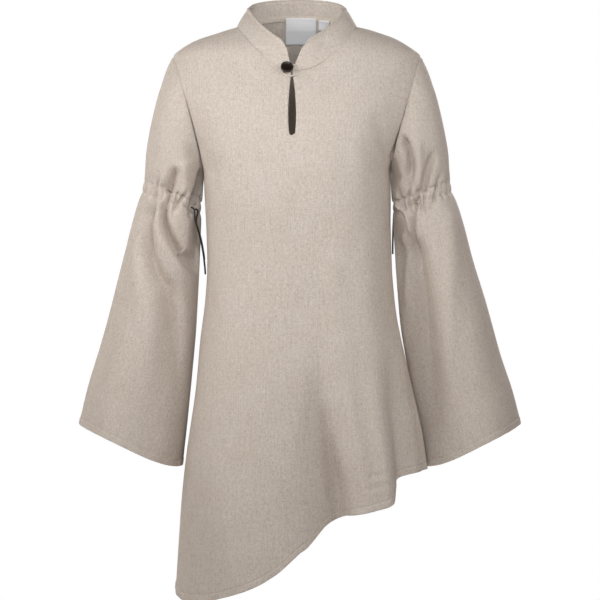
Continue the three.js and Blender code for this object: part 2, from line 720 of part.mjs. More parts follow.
/** Sews a sleeve into the armhole of the two panels. */
function joinArmhole(front, back, sleeve, hand) {
  const seamPoints = sleeve.points.slice(0, ARMHOLE_SEGMENTS).map((point) => point.clone());
  for (let i = 0; i < ARMHOLE_SEGMENTS; i += 1) {
    const panel = i <= ARMHOLE_ROWS ? front : back;
    const row = i <= ARMHOLE_ROWS ? i : ARMHOLE_SEGMENTS - i;
    const edge = armholeIndex(panel, hand, row);
    const crossing = sleeve.points[sleeve.starts[1] + i].clone().sub(seamPoints[i]);
    const before = seamPoints[(i + ARMHOLE_SEGMENTS - 1) % ARMHOLE_SEGMENTS];
    const along = seamPoints[(i + 1) % ARMHOLE_SEGMENTS].clone().sub(before).normalize();
    const low = (1 + Math.cos(radians((180 * row) / ARMHOLE_ROWS))) / 2;
    const armpit = new THREE.Vector3(0, 0, -0.8 * low * low);
    joinSeam(panel, edge, sleeve, i, along, crossing, SEAM_GAP, armpit);
  }
  for (const row of [0, ARMHOLE_ROWS]) {
    const ring = row === 0 ? 0 : ARMHOLE_ROWS;
    const source = armholeIndex(front, hand, row);
    const target = armholeIndex(back, hand, row);
    for (const normal of [front.normals[source], sleeve.normals[ring]]) normal.setY(0).normalize();
    back.normals[target].copy(front.normals[source]);
    const place = front.points[source];
    back.points[target].set(place.x, 0, place.z);
    place.setY(0);
  }
}

/** Closes the side and shoulder seams, where both panels end on the plane y = 0. */
function partPanel(panel) {
  panel.points.forEach((point, i) => {
    if (Math.abs(point.y) < 0.5) panel.normals[i].setY(0).normalize();
  });
  for (const point of panel.points) point.y += (panel.side * SEAM_GAP) / 2;
}

// ---- collar --------------------------------------------------------------------------------

/** Lines of the collar, from the opening's right edge round the back to its left edge. */
function collarLines() {
  const steps = NECK_STEPS;
  const lines = [];
  for (let i = steps; i > 0; i -= 1) lines.push({ side: -1, hand: -1, turn: (90 * i) / steps });
  for (let i = 0; i < steps; i += 1) lines.push({ side: 1, hand: -1, turn: (90 * i) / steps });
  for (let i = steps; i > 0; i -= 1) lines.push({ side: 1, hand: 1, turn: (90 * i) / steps });
  for (let i = 0; i <= steps; i += 1) lines.push({ side: -1, hand: 1, turn: (90 * i) / steps });
  return lines;
}

function collarTop({ side, hand, turn }) {
  const table = side < 0 ? COLLAR_TOP_FRONT : COLLAR_TOP_BACK;
  const read = (column) => readTable(table, 'turn', column, turn);
  const shift = side < 0 ? COLLAR_OPENING_SHIFT * Math.sin(radians(turn)) ** 2 : 0;
  const drop = side < 0 && turn === 90 ? COLLAR_CORNER_DROP : 0;
  return new THREE.Vector3(hand * read('x') + shift, read('y'), read('z') - drop);
}

function collarSurface() {
  const lines = collarLines();
  const points = [];
  for (const line of lines) {
    const seam = neckEdge(line.side, line.hand, line.turn);
    const base = line.turn === 0
      ? new THREE.Vector3(line.hand * NECK_HALF_WIDTH, 0, 0)
      : bodyAt(line.side, seam.x, seam.z);
    const top = collarTop(line);
    for (let row = 0; row <= COLLAR_ROWS; row += 1) {
      points.push(base.clone().lerp(top, row / COLLAR_ROWS));
    }
  }
  const triangles = gridTriangles(lines.length, COLLAR_ROWS, { flip: true });
  return { lines, points, triangles, normals: surfaceNormals(points, triangles) };
}

/** Sews the collar to the neck edge of the two panels. */
function joinNeck(front, back, collar) {
  const last = collar.lines.length - 1;
  const seamPoints = collar.lines.map((_, i) => collar.points[i * (COLLAR_ROWS + 1)].clone());
  collar.lines.forEach((line, i) => {
    const collarIndex = i * (COLLAR_ROWS + 1);
    const crossing = collar.points[collarIndex + 1].clone().sub(seamPoints[i]);
    const along = seamPoints[Math.min(i + 1, last)].clone()
      .sub(seamPoints[Math.max(i - 1, 0)]).normalize();
    const fromSide = SHOULDER_COLUMNS + Math.round((line.turn / 90) * NECK_STEPS);
    const edgeOf = (panel) => {
      const panelLine = line.hand < 0 ? fromSide : panel.lines - 1 - fromSide;
      return panelLine * (panel.rows + 1);
    };
    if (line.turn > 0) {
      const panel = line.side < 0 ? front : back;
      joinSeam(panel, edgeOf(panel), collar, collarIndex, along, crossing, NECK_GAP);
      return;
    }
    // The shoulder seams end here too, so all three pieces share a normal in the plane y = 0.
    const normal = front.normals[edgeOf(front)].clone().add(back.normals[edgeOf(back)]);
    normal.add(collar.normals[collarIndex]).setY(0).normalize();
    const apart = squareTo(new THREE.Vector3(0, 1, 0), normal, crossing);
    collar.normals[collarIndex].copy(normal);
    collar.points[collarIndex].addScaledVector(apart, NECK_GAP / 2);
    for (const panel of [front, back]) {
      panel.normals[edgeOf(panel)].copy(normal);
      panel.points[edgeOf(panel)].addScaledVector(apart, -NECK_GAP / 2);
    }
  });
}

// ---- button, loop, labels and drawstrings --------------------------------------------------

function buttonGeometry() {
  const rim = BUTTON_THICKNESS / 2;
  const top = SHANK_LENGTH + BUTTON_THICKNESS;
  const profile = [
    [0, 0],
    [SHANK_RADIUS, 0],
    [SHANK_RADIUS, SHANK_LENGTH],
    [BUTTON_RADIUS - rim, SHANK_LENGTH],
    [BUTTON_RADIUS - 0.4, SHANK_LENGTH + 0.9],
    [BUTTON_RADIUS, SHANK_LENGTH + rim],
    [BUTTON_RADIUS - 0.8, top - 0.7],
    [BUTTON_RADIUS - 2.6, top],
    [BUTTON_RADIUS * 0.4, top - 0.6],
    [0, top - 0.8],
  ];
  return new THREE.LatheGeometry(profile.map(([x, y]) => new THREE.Vector2(x, y)), 24);
}

/** The loop's centre line, lying just clear of the front and the foot of the collar. */
function loopPath() {
  return LOOP_ROUTE.map(({ x, z }) => {
    const cloth = bodyAt(-1, x, Math.min(z, FRONT_NECK_Z)).y;
    const lean = Math.max(0, z - FRONT_NECK_Z) * COLLAR_LEAN;
    return [x, cloth + lean - LOOP_RADIUS - LOOP_CLEARANCE, z];
  });
}

/** Round tube through a list of points, closed at both ends. */
function tubeGeometry(path, radius, sides, steps) {
  const curve = new THREE.CatmullRomCurve3(path.map((place) => new THREE.Vector3(...place)));
  const section = new THREE.Shape();
  for (let i = 0; i < sides; i += 1) {
    const angle = (2 * Math.PI * i) / sides;
    const corner = [radius * Math.cos(angle), radius * Math.sin(angle)];
    if (i === 0) section.moveTo(...corner);
    else section.lineTo(...corner);
  }
  section.closePath();
  return new THREE.ExtrudeGeometry(section, { steps, extrudePath: curve });
}

/** Bare woven patch that hangs from the neck seam, just clear of the inside of the back. */
function labelGeometry(patch) {
  const points = [];
  const clearance = LINEN + patch.standOff + LABEL_CLOTH;
  for (let column = 0; column <= patch.columns; column += 1) {
    const x = lerp(patch.left, patch.right, column / patch.columns);
    const seamZ = neckEdge(1, 1, 90).z * (1 - (x / NECK_HALF_WIDTH) ** 2);
    for (let row = 0; row <= patch.rows; row += 1) {
      const z = seamZ + lerp(patch.top, patch.bottom, row / patch.rows);
      const point = bodyAt(1, x, Math.min(z, seamZ));
      const overCollar = Math.max(0, z - seamZ);
      points.push(new THREE.Vector3(x, point.y - clearance - overCollar * 0.5, z));
    }
  }
  const triangles = gridTriangles(patch.columns + 1, patch.rows, { flip: true });
  return clothWall(points, triangles, surfaceNormals(points, triangles), LABEL_CLOTH);
}

// ---- the garment ---------------------------------------------------------------------------

const front = panelSurface(-1);
const back = panelSurface(1);
const collar = collarSurface();
joinNeck(front, back, collar);
const hands = [{ hand: -1, name: 'right' }, { hand: 1, name: 'left' }];
const sleeves = hands.map(({ hand }) => upperSleeve(hand));
hands.forEach(({ hand }, i) => joinArmhole(front, back, sleeves[i], hand));
partPanel(front);
partPanel(back);

function addCloth(name, surface, thickness) {
  const { points, triangles, normals } = surface;
  return addMesh(name, clothWall(points, triangles, normals, thickness), COLOURS.linen, 0.9);
}

addCloth('body_front', front, LINEN);
addCloth('body_back', back, LINEN);
addCloth('collar', collar, DOUBLE_LINEN);
hands.forEach(({ hand, name }, i) => {
  addCloth(`sleeve_upper_${name}`, sleeves[i], LINEN);
  addCloth(`casing_${name}`, casing(hand), LINEN);
  addCloth(`sleeve_lower_${name}`, lowerSleeve(hand), LINEN);
});

const button = addMesh('button', buttonGeometry(), COLOURS.button, 0.35);
button.position.copy(BUTTON_PLACE);
button.rotation.set(radians(180 - BUTTON_TIP_UP), 0, radians(BUTTON_TURN));

addMesh('button_loop', tubeGeometry(loopPath(), LOOP_RADIUS, 8, 24), COLOURS.linen, 0.85);
addMesh('neck_label', labelGeometry(NECK_LABEL), COLOURS.label, 0.6);
addMesh('size_tab', labelGeometry(SIZE_TAB), COLOURS.label, 0.6);

const cords = [
  ['drawstring_right_1', RIGHT_CORD_1],
  ['drawstring_right_2', RIGHT_CORD_2],
  ['drawstring_left_1', LEFT_CORD_1],
  ['drawstring_left_2', LEFT_CORD_2],
];
for (const [name, path] of cords) {
  addMesh(name, tubeGeometry(path, CORD_RADIUS, CORD_SIDES, CORD_STEPS), COLOURS.cord, 0.7);
}

export default group;
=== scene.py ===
"""Looks of a filled-out linen tunic blouse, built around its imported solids.

Lengths in the tables are millimetres and become metres when a mesh is made. +Z is up, the front
faces -Y and +X is the wearer's left. Each piece of cloth is a grid of points on its outer side,
with its folds and seams worked in, and a thin shell is made from it.
"""
import math

import bmesh
import bpy
import numpy as np
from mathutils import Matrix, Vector


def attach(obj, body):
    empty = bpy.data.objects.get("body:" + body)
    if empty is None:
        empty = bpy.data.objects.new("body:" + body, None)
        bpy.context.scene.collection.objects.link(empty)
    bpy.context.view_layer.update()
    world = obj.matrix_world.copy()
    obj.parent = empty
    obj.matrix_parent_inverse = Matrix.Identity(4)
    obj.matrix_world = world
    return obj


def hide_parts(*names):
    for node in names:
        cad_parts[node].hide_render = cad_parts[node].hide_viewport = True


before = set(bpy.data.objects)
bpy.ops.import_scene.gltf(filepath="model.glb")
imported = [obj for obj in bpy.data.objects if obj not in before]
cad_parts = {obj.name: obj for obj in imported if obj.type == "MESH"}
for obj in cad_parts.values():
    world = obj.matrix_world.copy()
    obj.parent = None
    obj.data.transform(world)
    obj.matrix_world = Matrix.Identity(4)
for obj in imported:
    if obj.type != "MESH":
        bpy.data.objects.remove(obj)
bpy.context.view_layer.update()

MM = 0.001
RIGHT, LEFT = -1, 1             # the wearer's, as signs of X
FRONT, BACK = -1, 1             # as signs of Y

# ---- sizes ---------------------------------------------------------------------------------

CLOTH = 0.9                     # one layer of linen
SEAM_CLOTH = 0.3                # right at a seam, where it goes under the stitches
TURNED_CLOTH = 2.0              # where it is turned under: hems, slit edge
COLLAR_CLOTH = 2.2
HEM_WIDTH = 11.0
STITCH_LENGTH = 2.6
STITCH_PITCH = 3.4
THREAD_RADIUS = 0.32

BUST_Z = -235.0
SHOULDER_TIP_Z = -48.6
UNDERARM_X = 150.0
SHOULDER_TIP_X = 200.0
ARMHOLE_HALF_DEPTH = 60.0
ARMHOLE_HOLLOW = 1.25
SECTION_POWER = 2.3
NECK_HALF_WIDTH = 97.0
FRONT_NECK_Z = -77.6
BACK_NECK_Z = 17.0
OPENING_X = -7.6
OPENING_HALF_WIDTH = 1.8        # of the slit where it meets the collar
SLIT_BOTTOM_Z = -183.0
SHOULDER_SHARE = 4 / 11         # share of a panel's half that ends at the shoulder seam


def columns(names, rows):
    """A table as a dict of arrays, sorted by its first column."""
    values = np.array(sorted(rows), float)
    return dict(zip(names.split(), values.T))


BODY = columns("z half_width front back lean", [
    (17, 66, 36, 60, 0), (8, 84, 38, 63, 0), (0, 97, 42, 66, 0), (-5, 115, 47, 69, 0),
    (-21, 160, 61, 76, 0), (-37, 189, 74, 82, 0), (-48.6, 200, 80, 86, 0), (-78, 200, 91, 94, 0),
    (-110, 190, 104, 101, 0), (-150, 175, 118, 106, 0), (-190, 160, 127, 109, 0),
    (-235, 150, 131, 109, 0), (-260, 150.5, 130, 107, 1), (-330, 148.5, 124, 103, 3),
    (-380, 149, 121, 104, 4), (-442, 153, 122, 108, 5), (-507, 161.5, 128, 116, 6),
    (-604, 174.5, 138, 128, 8.5), (-714, 190, 147, 140, 8.5), (-930, 210, 163, 158, 12),
])
HEM = {
    FRONT: columns("angle z", [
        (-90, -905), (-64, -918), (-46, -916), (-32, -906), (-20, -892), (-10, -871), (0, -834),
        (9, -797), (16, -785), (32, -771), (41, -762), (49, -733), (58, -721), (74, -713),
        (90, -712),
    ]),
    BACK: columns("angle z", [
        (-90, -905), (-60, -912), (-30, -888), (0, -828), (30, -765), (60, -726), (90, -712),
    ]),
}
# Standing folds of the skirt: angle round the body, spread, depth outwards, and the heights at
# which a fold starts and is full.
SKIRT_FOLDS = {
    FRONT: [(12, 12, -18, -500, -800), (40, 9, 14, -480, -760), (55, 8, -14, -480, -740),
            (74, 11, 18, -400, -700), (-30, 18, 7, -520, -880)],
    BACK: [(-48, 12, 12, -480, -860), (-22, 11, -12, -500, -860), (6, 12, 11, -480, -820),
           (34, 11, -12, -520, -780), (60, 11, 9, -500, -740)],
}
SLIT = columns("z half_width", [
    (-183, 0), (-182.5, 3.2), (-180, 4.8), (-172, 5.8), (-160, 6.5), (-145, 6.7), (-110, 4.8),
    (-89, 2.8), (-77.6, 1.8),
])
COLLAR_TOP = {
    FRONT: columns("turn x y z", [
        (0, 79, 0, 31), (18, 73, -22, 21), (38, 59, -46, 3), (58, 41, -66, -14),
        (76, 25, -78, -26), (90, 17, -81, -31),
    ]),
    BACK: columns("turn x y z", [(0, 79, 0, 31), (30, 71, 27, 40), (60, 44, 45, 47.5), (90, 0, 52, 51)]),
}
COLLAR_OPENING_SHIFT = -3.0
COLLAR_CORNER = 9.0             # radius of its front corners

# Sections of a sleeve from the top down: its outer and inner point seen from the front, its
# half depth, how far back it lies, how far its front sags, and how far the left one swings out.
SLEEVE_NAMES = "outer_x outer_z inner_x inner_z depth y sag swing_inner swing_outer"
UPPER_SLEEVE = [
    (200, -48.6, 150, -235, 60, 0, 0, 0, 0), (210, -66, 150.9, -243, 63, 0, 0, 0, 0),
    (221, -97, 151.8, -251, 64, 0, 0, 0, 0), (231, -132, 152.7, -259, 62, 0, 0, 0, 0),
    (239, -170, 153.4, -267, 59, 0, 0, 0, 0), (244.5, -208, 154, -275, 56, 0, 0, 0, 0),
    (246, -235, 154.6, -281, 53.5, 0, 0, 0, 0), (247, -250, 156.4, -284, 50, 0, 0, 0, 0),
]
CASING = [
    (247, -250.4, 156.4, -284.4, 50, 0, 0, 0, 0), (248.6, -258.5, 155.9, -292.5, 51, 0, 0, 0, 0),
    (250, -266.8, 157, -301, 50, 0, 0, 0, 0),
]
LOWER_SLEEVE = [
    (250, -267.2, 157, -301.4, 50, 0, 0, 0, 0), (256, -281, 155.8, -313, 56, 1, 0, 0, 1),
    (265.6, -312, 156.5, -344, 60, 3, 0, 1, 2), (278.6, -361, 158.5, -398, 64, 6, 0, 2.5, 3.3),
    (299.7, -442, 163, -480, 69, 10, 1, 5, 6.5), (322.3, -523, 170.5, -562, 73, 14, 3, 11, 6.8),
    (342.5, -590, 178.5, -640, 77, 18, 6, 16, 8.5), (355.5, -642, 186, -707, 80, 20, 9, 18.5, 9.5),
]
SAG_TURN, SAG_SPREAD = 55.0, 45.0
SLEEVE_FOLDS = [(62, 22, -5), (112, 24, 5), (160, 20, -3), (218, 22, 4), (262, 22, -5), (308, 24, 4)]
FOLD_START_Z, FOLD_FULL_Z = -300.0, -600.0

# Tucks that the drawstring pulls in round each casing: turn round the sleeve from its inner
# side over the front, depth, half width, how far the tuck runs up and down, and how far it
# leans towards the outer side for each millimetre down.
TUCKS = {
    RIGHT: [(20, 3.0, 4, 16, 14, 0.2), (38, 6.5, 3.4, 12, 11, 0.35), (47, 4.6, 2.4, 8, 16, -0.2),
            (70, 7.4, 3.2, 10, 22, 0.36), (78, 4.6, 2.2, 16, 8, 0.2), (91, 8.6, 3.4, 17, 26, 0.30),
            (107, 2.0, 2.6, 7, 10, -0.1), (121, 7.4, 3.2, 11, 24, -0.1),
            (139, 1.6, 3.0, 12, 9, 0.1), (156, 2.2, 3.4, 14, 16, -0.2),
            (184, 3.0, 4.0, 20, 22, 0.1), (203, 5.0, 2.8, 12, 14, 0.2),
            (222, 6.4, 3.2, 18, 34, -0.2), (240, 3.4, 2.6, 9, 12, 0.1),
            (256, 6.8, 3.0, 16, 24, 0.3), (277, 6.0, 3.4, 22, 38, -0.3),
            (296, 3.6, 2.8, 10, 14, 0.2), (315, 5.6, 3.0, 16, 20, 0.2),
            (338, 4.0, 4.0, 14, 16, 0.0)],
    LEFT: [(20, 3.0, 4, 14, 14, 0.0), (46, 6.0, 3.2, 16, 12, 0.3), (61, 7.0, 2.6, 10, 18, -0.1),
           (69, 3.0, 2.2, 12, 9, 0.2), (80, 8.4, 3.2, 16, 36, 0.1), (93, 6.0, 2.6, 14, 9, -0.4),
           (116, 6.8, 3.4, 14, 10, -0.5), (131, 1.8, 2.8, 8, 12, -0.2),
           (151, 4.2, 3.6, 16, 10, -0.3), (171, 1.8, 3.6, 14, 16, 0.0),
           (192, 4.4, 3.4, 16, 22, -0.2), (210, 6.2, 3.0, 14, 18, 0.2),
           (229, 3.4, 2.6, 9, 12, 0.0), (246, 6.8, 3.2, 20, 34, 0.3), (268, 5.8, 3.0, 12, 18, -0.2),
           (286, 3.6, 2.8, 10, 12, 0.1), (306, 6.0, 3.2, 18, 26, 0.2),
           (334, 4.2, 4.0, 14, 14, 0.0)],
}

# Creases placed one by one, as seen from the front or the back: width, depth (above 0 is a ridge),
# how it spreads along its length, and the places that it passes. Two widths are those towards
# -X and +X of a crease that is steeper on one side.
BODY_CREASES = {
    FRONT: [
        (5, 1.6, 0.8, [(-138, -262), (-143, -227), (-148, -202)]),
        (5, -1.8, 0.8, [(-131, -262), (-136, -228), (-145, -200)]),
        (7, -4.2, 1.2, [(151, -226), (144, -198), (134, -166), (118, -138)]),
        (6, 1.8, 1.2, [(149, -206), (142, -176), (131, -150)]),
        (9, -1.6, 0.6, [(-96, -52), (-70, -92), (-40, -112)]),
        (9, -1.3, 0.6, [(92, -50), (66, -92), (34, -110)]),
        (3.5, 0.7, 0.2, [(95, -716), (127, -708), (152, -703)]),
        (3.5, -0.8, 0.2, [(96, -724), (127, -717), (152, -712)]),
        (3.5, 0.8, 0.2, [(96, -733), (127, -725), (152, -721)]),
        (3.5, -0.8, 0.2, [(98, -742), (130, -734), (153, -729)]),
        (3.5, 0.7, 0.2, [(99, -750), (130, -742), (152, -737)]),
        (16, 2.2, 0.4, [(52, -330), (66, -470), (84, -640), (104, -790)]),
        (14, -1.6, 0.4, [(-70, -420), (-82, -600), (-96, -760), (-100, -880)]),
        (16, 1.6, 0.4, [(-112, -380), (-128, -560), (-140, -760)]),
    ],
    BACK: [
        (6, -3.0, 1.2, [(-150, -226), (-142, -192), (-128, -160)]),
        (6, -3.4, 1.2, [(150, -228), (143, -196), (131, -168)]),
        (10, -1.6, 0.6, [(-90, -30), (-60, -60), (-20, -74)]),
        (10, -1.4, 0.6, [(94, -34), (58, -64), (24, -80)]),
        (18, -2.6, 0.5, [(-40, -180), (-34, -330), (-48, -520), (-60, -800)]),
        (18, 2.2, 0.5, [(30, -200), (40, -380), (36, -560), (20, -760)]),
        (14, -2.0, 0.5, [(96, -260), (104, -420), (120, -640)]),
        (14, 1.8, 0.5, [(-104, -280), (-112, -470), (-128, -700)]),
    ],
}
# Folds that grow towards the hem: widths towards -X and +X and depth at the hem, the heights at
# which one starts and is full, and the places that it passes.
HEM_FOLDS = {
    FRONT: [
        ((42, 9.5), -39.0, -480, -780, [(36, -480), (40, -600), (50, -660), (65, -726), (78, -800)]),
        ((12, 18), 9.0, -540, -760, [(80, -560), (90, -640), (104, -720), (112, -800)]),
        ((70, 60), -18.0, -700, -915, [(-170, -700), (-160, -920)]),
    ],
    BACK: [],
}
# The front is flatter than its solid, by this power of its level sections and share of depth.
FLAT_POWER, FLAT_SHARE = 3.0, 0.94
# The front turns away more sharply outside a line that starts at SIDE_TURN_X under the arm and
# slants outwards.
SIDE_TURN_X, SIDE_TURN_Z, SIDE_TURN_SLANT = 101.0, -220.0, 0.086
SIDE_TURN, SIDE_TURN_SOFT = 0.42, 4.0
SLEEVE_CREASES = {
    (RIGHT, FRONT): [
        ((13, 5), -17.0, 0.9, [(-229, -276), (-234, -300), (-240, -325), (-238, -352),
                               (-231, -378), (-216, -404), (-198, -430), (-192, -470),
                               (-190, -540), (-190, -690)]),
        (8, 5.0, 0.5, [(-218, -290), (-221, -326), (-210, -360), (-190, -392), (-176, -430)]),
        ((7, 4), -16.0, 0.5, [(-202, -280), (-211, -307), (-203, -332), (-190, -356),
                              (-175, -379), (-160, -404)]),
        (12, 3.4, 0.6, [(-262, -310), (-262, -352), (-252, -416), (-234, -480), (-237, -546),
                        (-241, -660)]),
        (3.0, -15.0, 1.4, [(-153, -228), (-156, -254), (-163, -276), (-170, -316)]),
        ((9, 5), -13.0, 0.2, [(-190, -226), (-195, -246), (-203, -262), (-209, -288)]),
        (8, 6.0, 0.3, [(-180, -216), (-182, -250), (-178, -300)]),
        (2.4, -2.4, 0.3, [(-226, -238), (-231, -254), (-240, -274)]),
        (2.4, -2.0, 0.3, [(-220, -232), (-222, -246), (-228, -262)]),
        (11, 2.0, 0.6, [(-214, -90), (-222, -150), (-228, -215)]),
        (9, -2.4, 0.8, [(-160, -222), (-176, -192), (-198, -160)]),
    ],
    (LEFT, FRONT): [
        ((6, 3), -10.0, 0.1, [(194, -270), (189, -298), (186, -326), (185, -356),
                                (187, -410)]),
        ((18, 17), -15.0, 0.6, [(184, -330), (187, -370), (193, -420), (199, -470), (206, -540),
                               (212, -620), (216, -760)]),
        (2.4, 7.0, 0.1, [(154, -280), (168, -294), (178, -308), (181, -330), (181, -350)]),
        (12, 4.0, 0.6, [(236, -284), (247, -316), (249, -360), (244, -430), (240, -500),
                        (240, -594), (242, -690)]),
        (5, 4.6, 0.3, [(170, -330), (174, -366), (174, -420), (176, -490)]),
        ((7, 5), -13.0, 0.4, [(168, -176), (177, -206), (182, -228), (172, -264)]),
        ((6, 4), -10.0, 0.3, [(221, -200), (213, -232), (203, -262), (196, -290)]),
        (7, 5.0, 0.4, [(192, -180), (194, -226), (194, -262), (178, -296)]),
        (2.6, -2.4, 0.4, [(206, -222), (203, -246), (198, -272)]),
        (11, 2.0, 0.6, [(214, -90), (222, -150), (230, -205)]),
    ],
    (RIGHT, BACK): [
        (9, -7.0, 1.0, [(-236, -284), (-230, -340), (-214, -420), (-206, -520), (-208, -670)]),
        (10, 3.6, 0.8, [(-214, -290), (-208, -380), (-188, -450)]),
        (13, 3.4, 0.8, [(-254, -300), (-262, -430), (-272, -560), (-276, -680)]),
        ((5, 8), -6.0, 0.5, [(-190, -290), (-184, -340), (-180, -400), (-184, -480)]),
        (7, -7.0, 0.4, [(-182, -218), (-188, -250), (-192, -286)]),
        (7, -6.0, 0.4, [(-224, -190), (-219, -226), (-214, -276)]),
        (8, 3.0, 0.5, [(-204, -210), (-204, -244), (-202, -280)]),
    ],
    (LEFT, BACK): [
        (9, -7.4, 1.0, [(226, -284), (216, -350), (218, -430), (230, -540), (236, -670)]),
        (11, 3.6, 0.7, [(250, -290), (262, -400), (280, -520), (290, -640)]),
        ((8, 5), -6.4, 0.5, [(190, -290), (186, -350), (184, -420), (188, -500)]),
        (9, 3.0, 0.6, [(204, -300), (200, -380), (206, -480)]),
        (7, -7.0, 0.4, [(204, -200), (202, -240), (198, -284)]),
        (7, -5.6, 0.4, [(234, -190), (226, -232), (222, -276)]),
        (8, 3.0, 0.5, [(182, -214), (186, -250), (188, -282)]),
    ],
}

# Where the front of a sleeve turns in sharply towards the body: how far, and the line of the turn.
INNER_TURNS = {
    RIGHT: [
        (0.90, 10, [(-146, -226), (-155, -250), (-165, -270), (-172, -284), (-160, -292)]),
        (0.85, 14, [(-166, -296), (-173, -306), (-174, -320), (-175.5, -350), (-178, -372),
                    (-171, -400), (-164, -430), (-160, -470), (-157, -540)]),
    ],
    LEFT: [
        (0.34, 34, [(180, -288), (190, -300), (190, -326), (189, -352), (193, -390), (199, -430),
                    (203, -480), (200, -580)]),
        (0.85, 14, [(152, -196), (161, -224), (167, -246), (162, -262), (150, -276)]),
        (0.80, 20, [(150, -286), (164, -297), (172, -310), (173, -330), (169, -346), (171, -366),
                    (170, -400), (171, -440), (170, -490), (162, -560)]),
    ],
}

BUTTON_RADIUS = 9.8
BUTTON_THICKNESS = 3.8
SHANK_RADIUS = 1.8
SHANK_LENGTH = 4.2
BUTTON_PLACE = (-16.4, -92.0, -76.5)
BUTTON_TIP_UP = 33.0
BUTTON_ROLL = 18.0
BUTTON_TURN = -4.0
LOOP_RADIUS = 1.3
LOOP_CLEARANCE = 0.5
COLLAR_LEAN = 0.2
LOOP_ROUTE = [(-2, -70.4), (-9, -69.2), (-16, -69.6), (-22, -74.4), (-22.6, -81), (-17.5, -86.4),
              (-10.5, -88), (-3.4, -86.6)]

# Labels from left to right and top to bottom, the heights from the neck seam.
NECK_LABEL = {"left": -18, "right": 31, "top": 3.6, "bottom": -38, "stand_off": 2.4}
SIZE_TAB = {"left": 36, "right": 52, "top": 2, "bottom": -14, "stand_off": 3.7}
LABEL_CLOTH = 0.6

CORD_DIAMETER = 3.0
CORDS = {
    "drawstring_right_1": [
        (-169.9, -35.9, -293.5), (-168.6, -36.7, -293.7), (-166.5, -38, -294.4),
        (-165, -39, -296.2), (-164.4, -39.4, -298.8), (-164.2, -40, -303), (-164, -40.8, -308),
        (-163.4, -41.2, -314), (-161.6, -39.8, -321), (-158.8, -35.4, -330), (-156, -29, -340.5),
        (-153.9, -22.4, -350.5), (-152.2, -14.6, -361), (-150.8, -5.6, -372), (-149.9, 4, -383),
        (-149.3, 13, -393), (-149.2, 19, -399.5),
    ],
    "drawstring_right_2": [
        (-163.4, -27, -295.9), (-162.2, -27.9, -296.1), (-160.4, -29.5, -296.8),
        (-159.2, -30.8, -298.6), (-159, -31.8, -301.4), (-160.2, -33.6, -305.5),
        (-161.5, -35.3, -310.5), (-161.9, -35.8, -316), (-160.6, -33.9, -323),
        (-158, -29.8, -331), (-155.4, -23.9, -340), (-153.5, -17.4, -349.5),
        (-151.9, -9.6, -360), (-150.7, -2.2, -369), (-150.1, 3.4, -375.5),
    ],
    "drawstring_left_1": [
        (169.9, 35.9, -293.5), (168.6, 36.7, -293.7), (166.5, 38, -294.4), (165, 39, -296.2),
        (164.4, 39.4, -298.8), (164.2, 40, -303), (164, 41, -308.5), (163.8, 42.2, -315),
        (163.5, 43.2, -323), (163.3, 43.8, -332), (163.1, 44.2, -342), (163, 44.4, -353),
        (163, 44.6, -365), (163, 44.8, -378), (163.1, 45, -391),
    ],
    "drawstring_left_2": [
        (163.4, 27, -295.9), (162.2, 27.9, -296.1), (160.3, 29.5, -296.8), (158.9, 30.6, -298.6),
        (158.3, 31, -301.2), (158, 31.4, -305.5), (157.7, 31.9, -311), (157.3, 32.6, -318),
        (157, 33.2, -326), (156.7, 33.8, -335), (156.5, 34.2, -345), (156.4, 34.6, -356),
        (156.4, 34.8, -367),
    ],
}

CREASE_START = 20.0             # a crease takes this far to come up from the cloth at its start
SLEEVE_CREASE_DEPTH = 1.3       # how much deeper the sleeves' creases are than their tables say
RIM_STEPS = 3                   # steps that round a cut edge of cloth
EDGE_STEPS = np.array([0, 0.8, 1.8, 3.2, 5.0, 7.4])     # close rows beside an edge
CASING_HALF = 8.5
SLEEVE_LINES = 288
LAP = 1.2                       # one piece goes under the next by this much at a casing
LAP_STEP = 0.45
STITCH_FROM_FOLD = 0.6          # the hem's stitches lie this far inside its turned edge
COLLAR_CREASES = {
    FRONT: [
        (3.0, -2.0, 0.4, [(-74, -47), (-58, -46), (-42, -49), (-24, -56)]),
        (4.0, 1.2, 0.4, [(-66, -38), (-50, -39), (-34, -42)]),
        (4.0, -1.2, 0.4, [(50, -18), (44, -34), (34, -46)]),
    ],
    BACK: [
        (3.0, -1.6, 0.0, [(58, 60), (60, 30), (61, 10)]),
        (4.0, 1.0, 0.0, [(-30, 60), (-33, 36), (-34, 12)]),
    ],
}

FLOOR_Z = -1450.0
FLOOR_RADIUS = 2300.0           # its far edge stays below the frame
AIM = (0.0, 0.0, -0.25)         # metres, where every light points
WARM = (1.0, 0.98, 0.955)
COOL = (0.95, 0.98, 1.0)

CAMERA_X, CAMERA_Z = 4.9, -442.0
CAMERA_DISTANCE = 4000.0
VIEW_WIDTH = 972.0              # what the frame spans at the middle of the body

# ---- curves, tables and heights ------------------------------------------------------------


def read(table, key, column, at):
    """Reads one column of a table at values of its key, along a smooth curve through the rows."""
    keys, values = table[key], table[column]
    slope = np.diff(values) / np.diff(keys)
    before, after = slope[:-1], slope[1:]
    total = np.where(before + after == 0, 1, before + after)
    middle = np.where(before * after > 0, 2 * before * after / total, 0)
    tangent = np.concatenate([slope[:1], middle, slope[-1:]])
    at = np.clip(at, keys[0], keys[-1])
    i = np.clip(np.searchsorted(keys, at, side="right") - 1, 0, len(keys) - 2)
    span = np.diff(keys)[i]
    t = (at - keys[i]) / span
    return ((2 * t**3 - 3 * t**2 + 1) * values[i] + (t**3 - 2 * t**2 + t) * span * tangent[i]
            + (3 * t**2 - 2 * t**3) * values[i + 1] + (t**3 - t**2) * span * tangent[i + 1])


def fade(value, start, full):
    """Fades from 0 at start to 1 at full."""
    t = np.clip((value - start) / (full - start), 0, 1)
    return t * t * (3 - 2 * t)


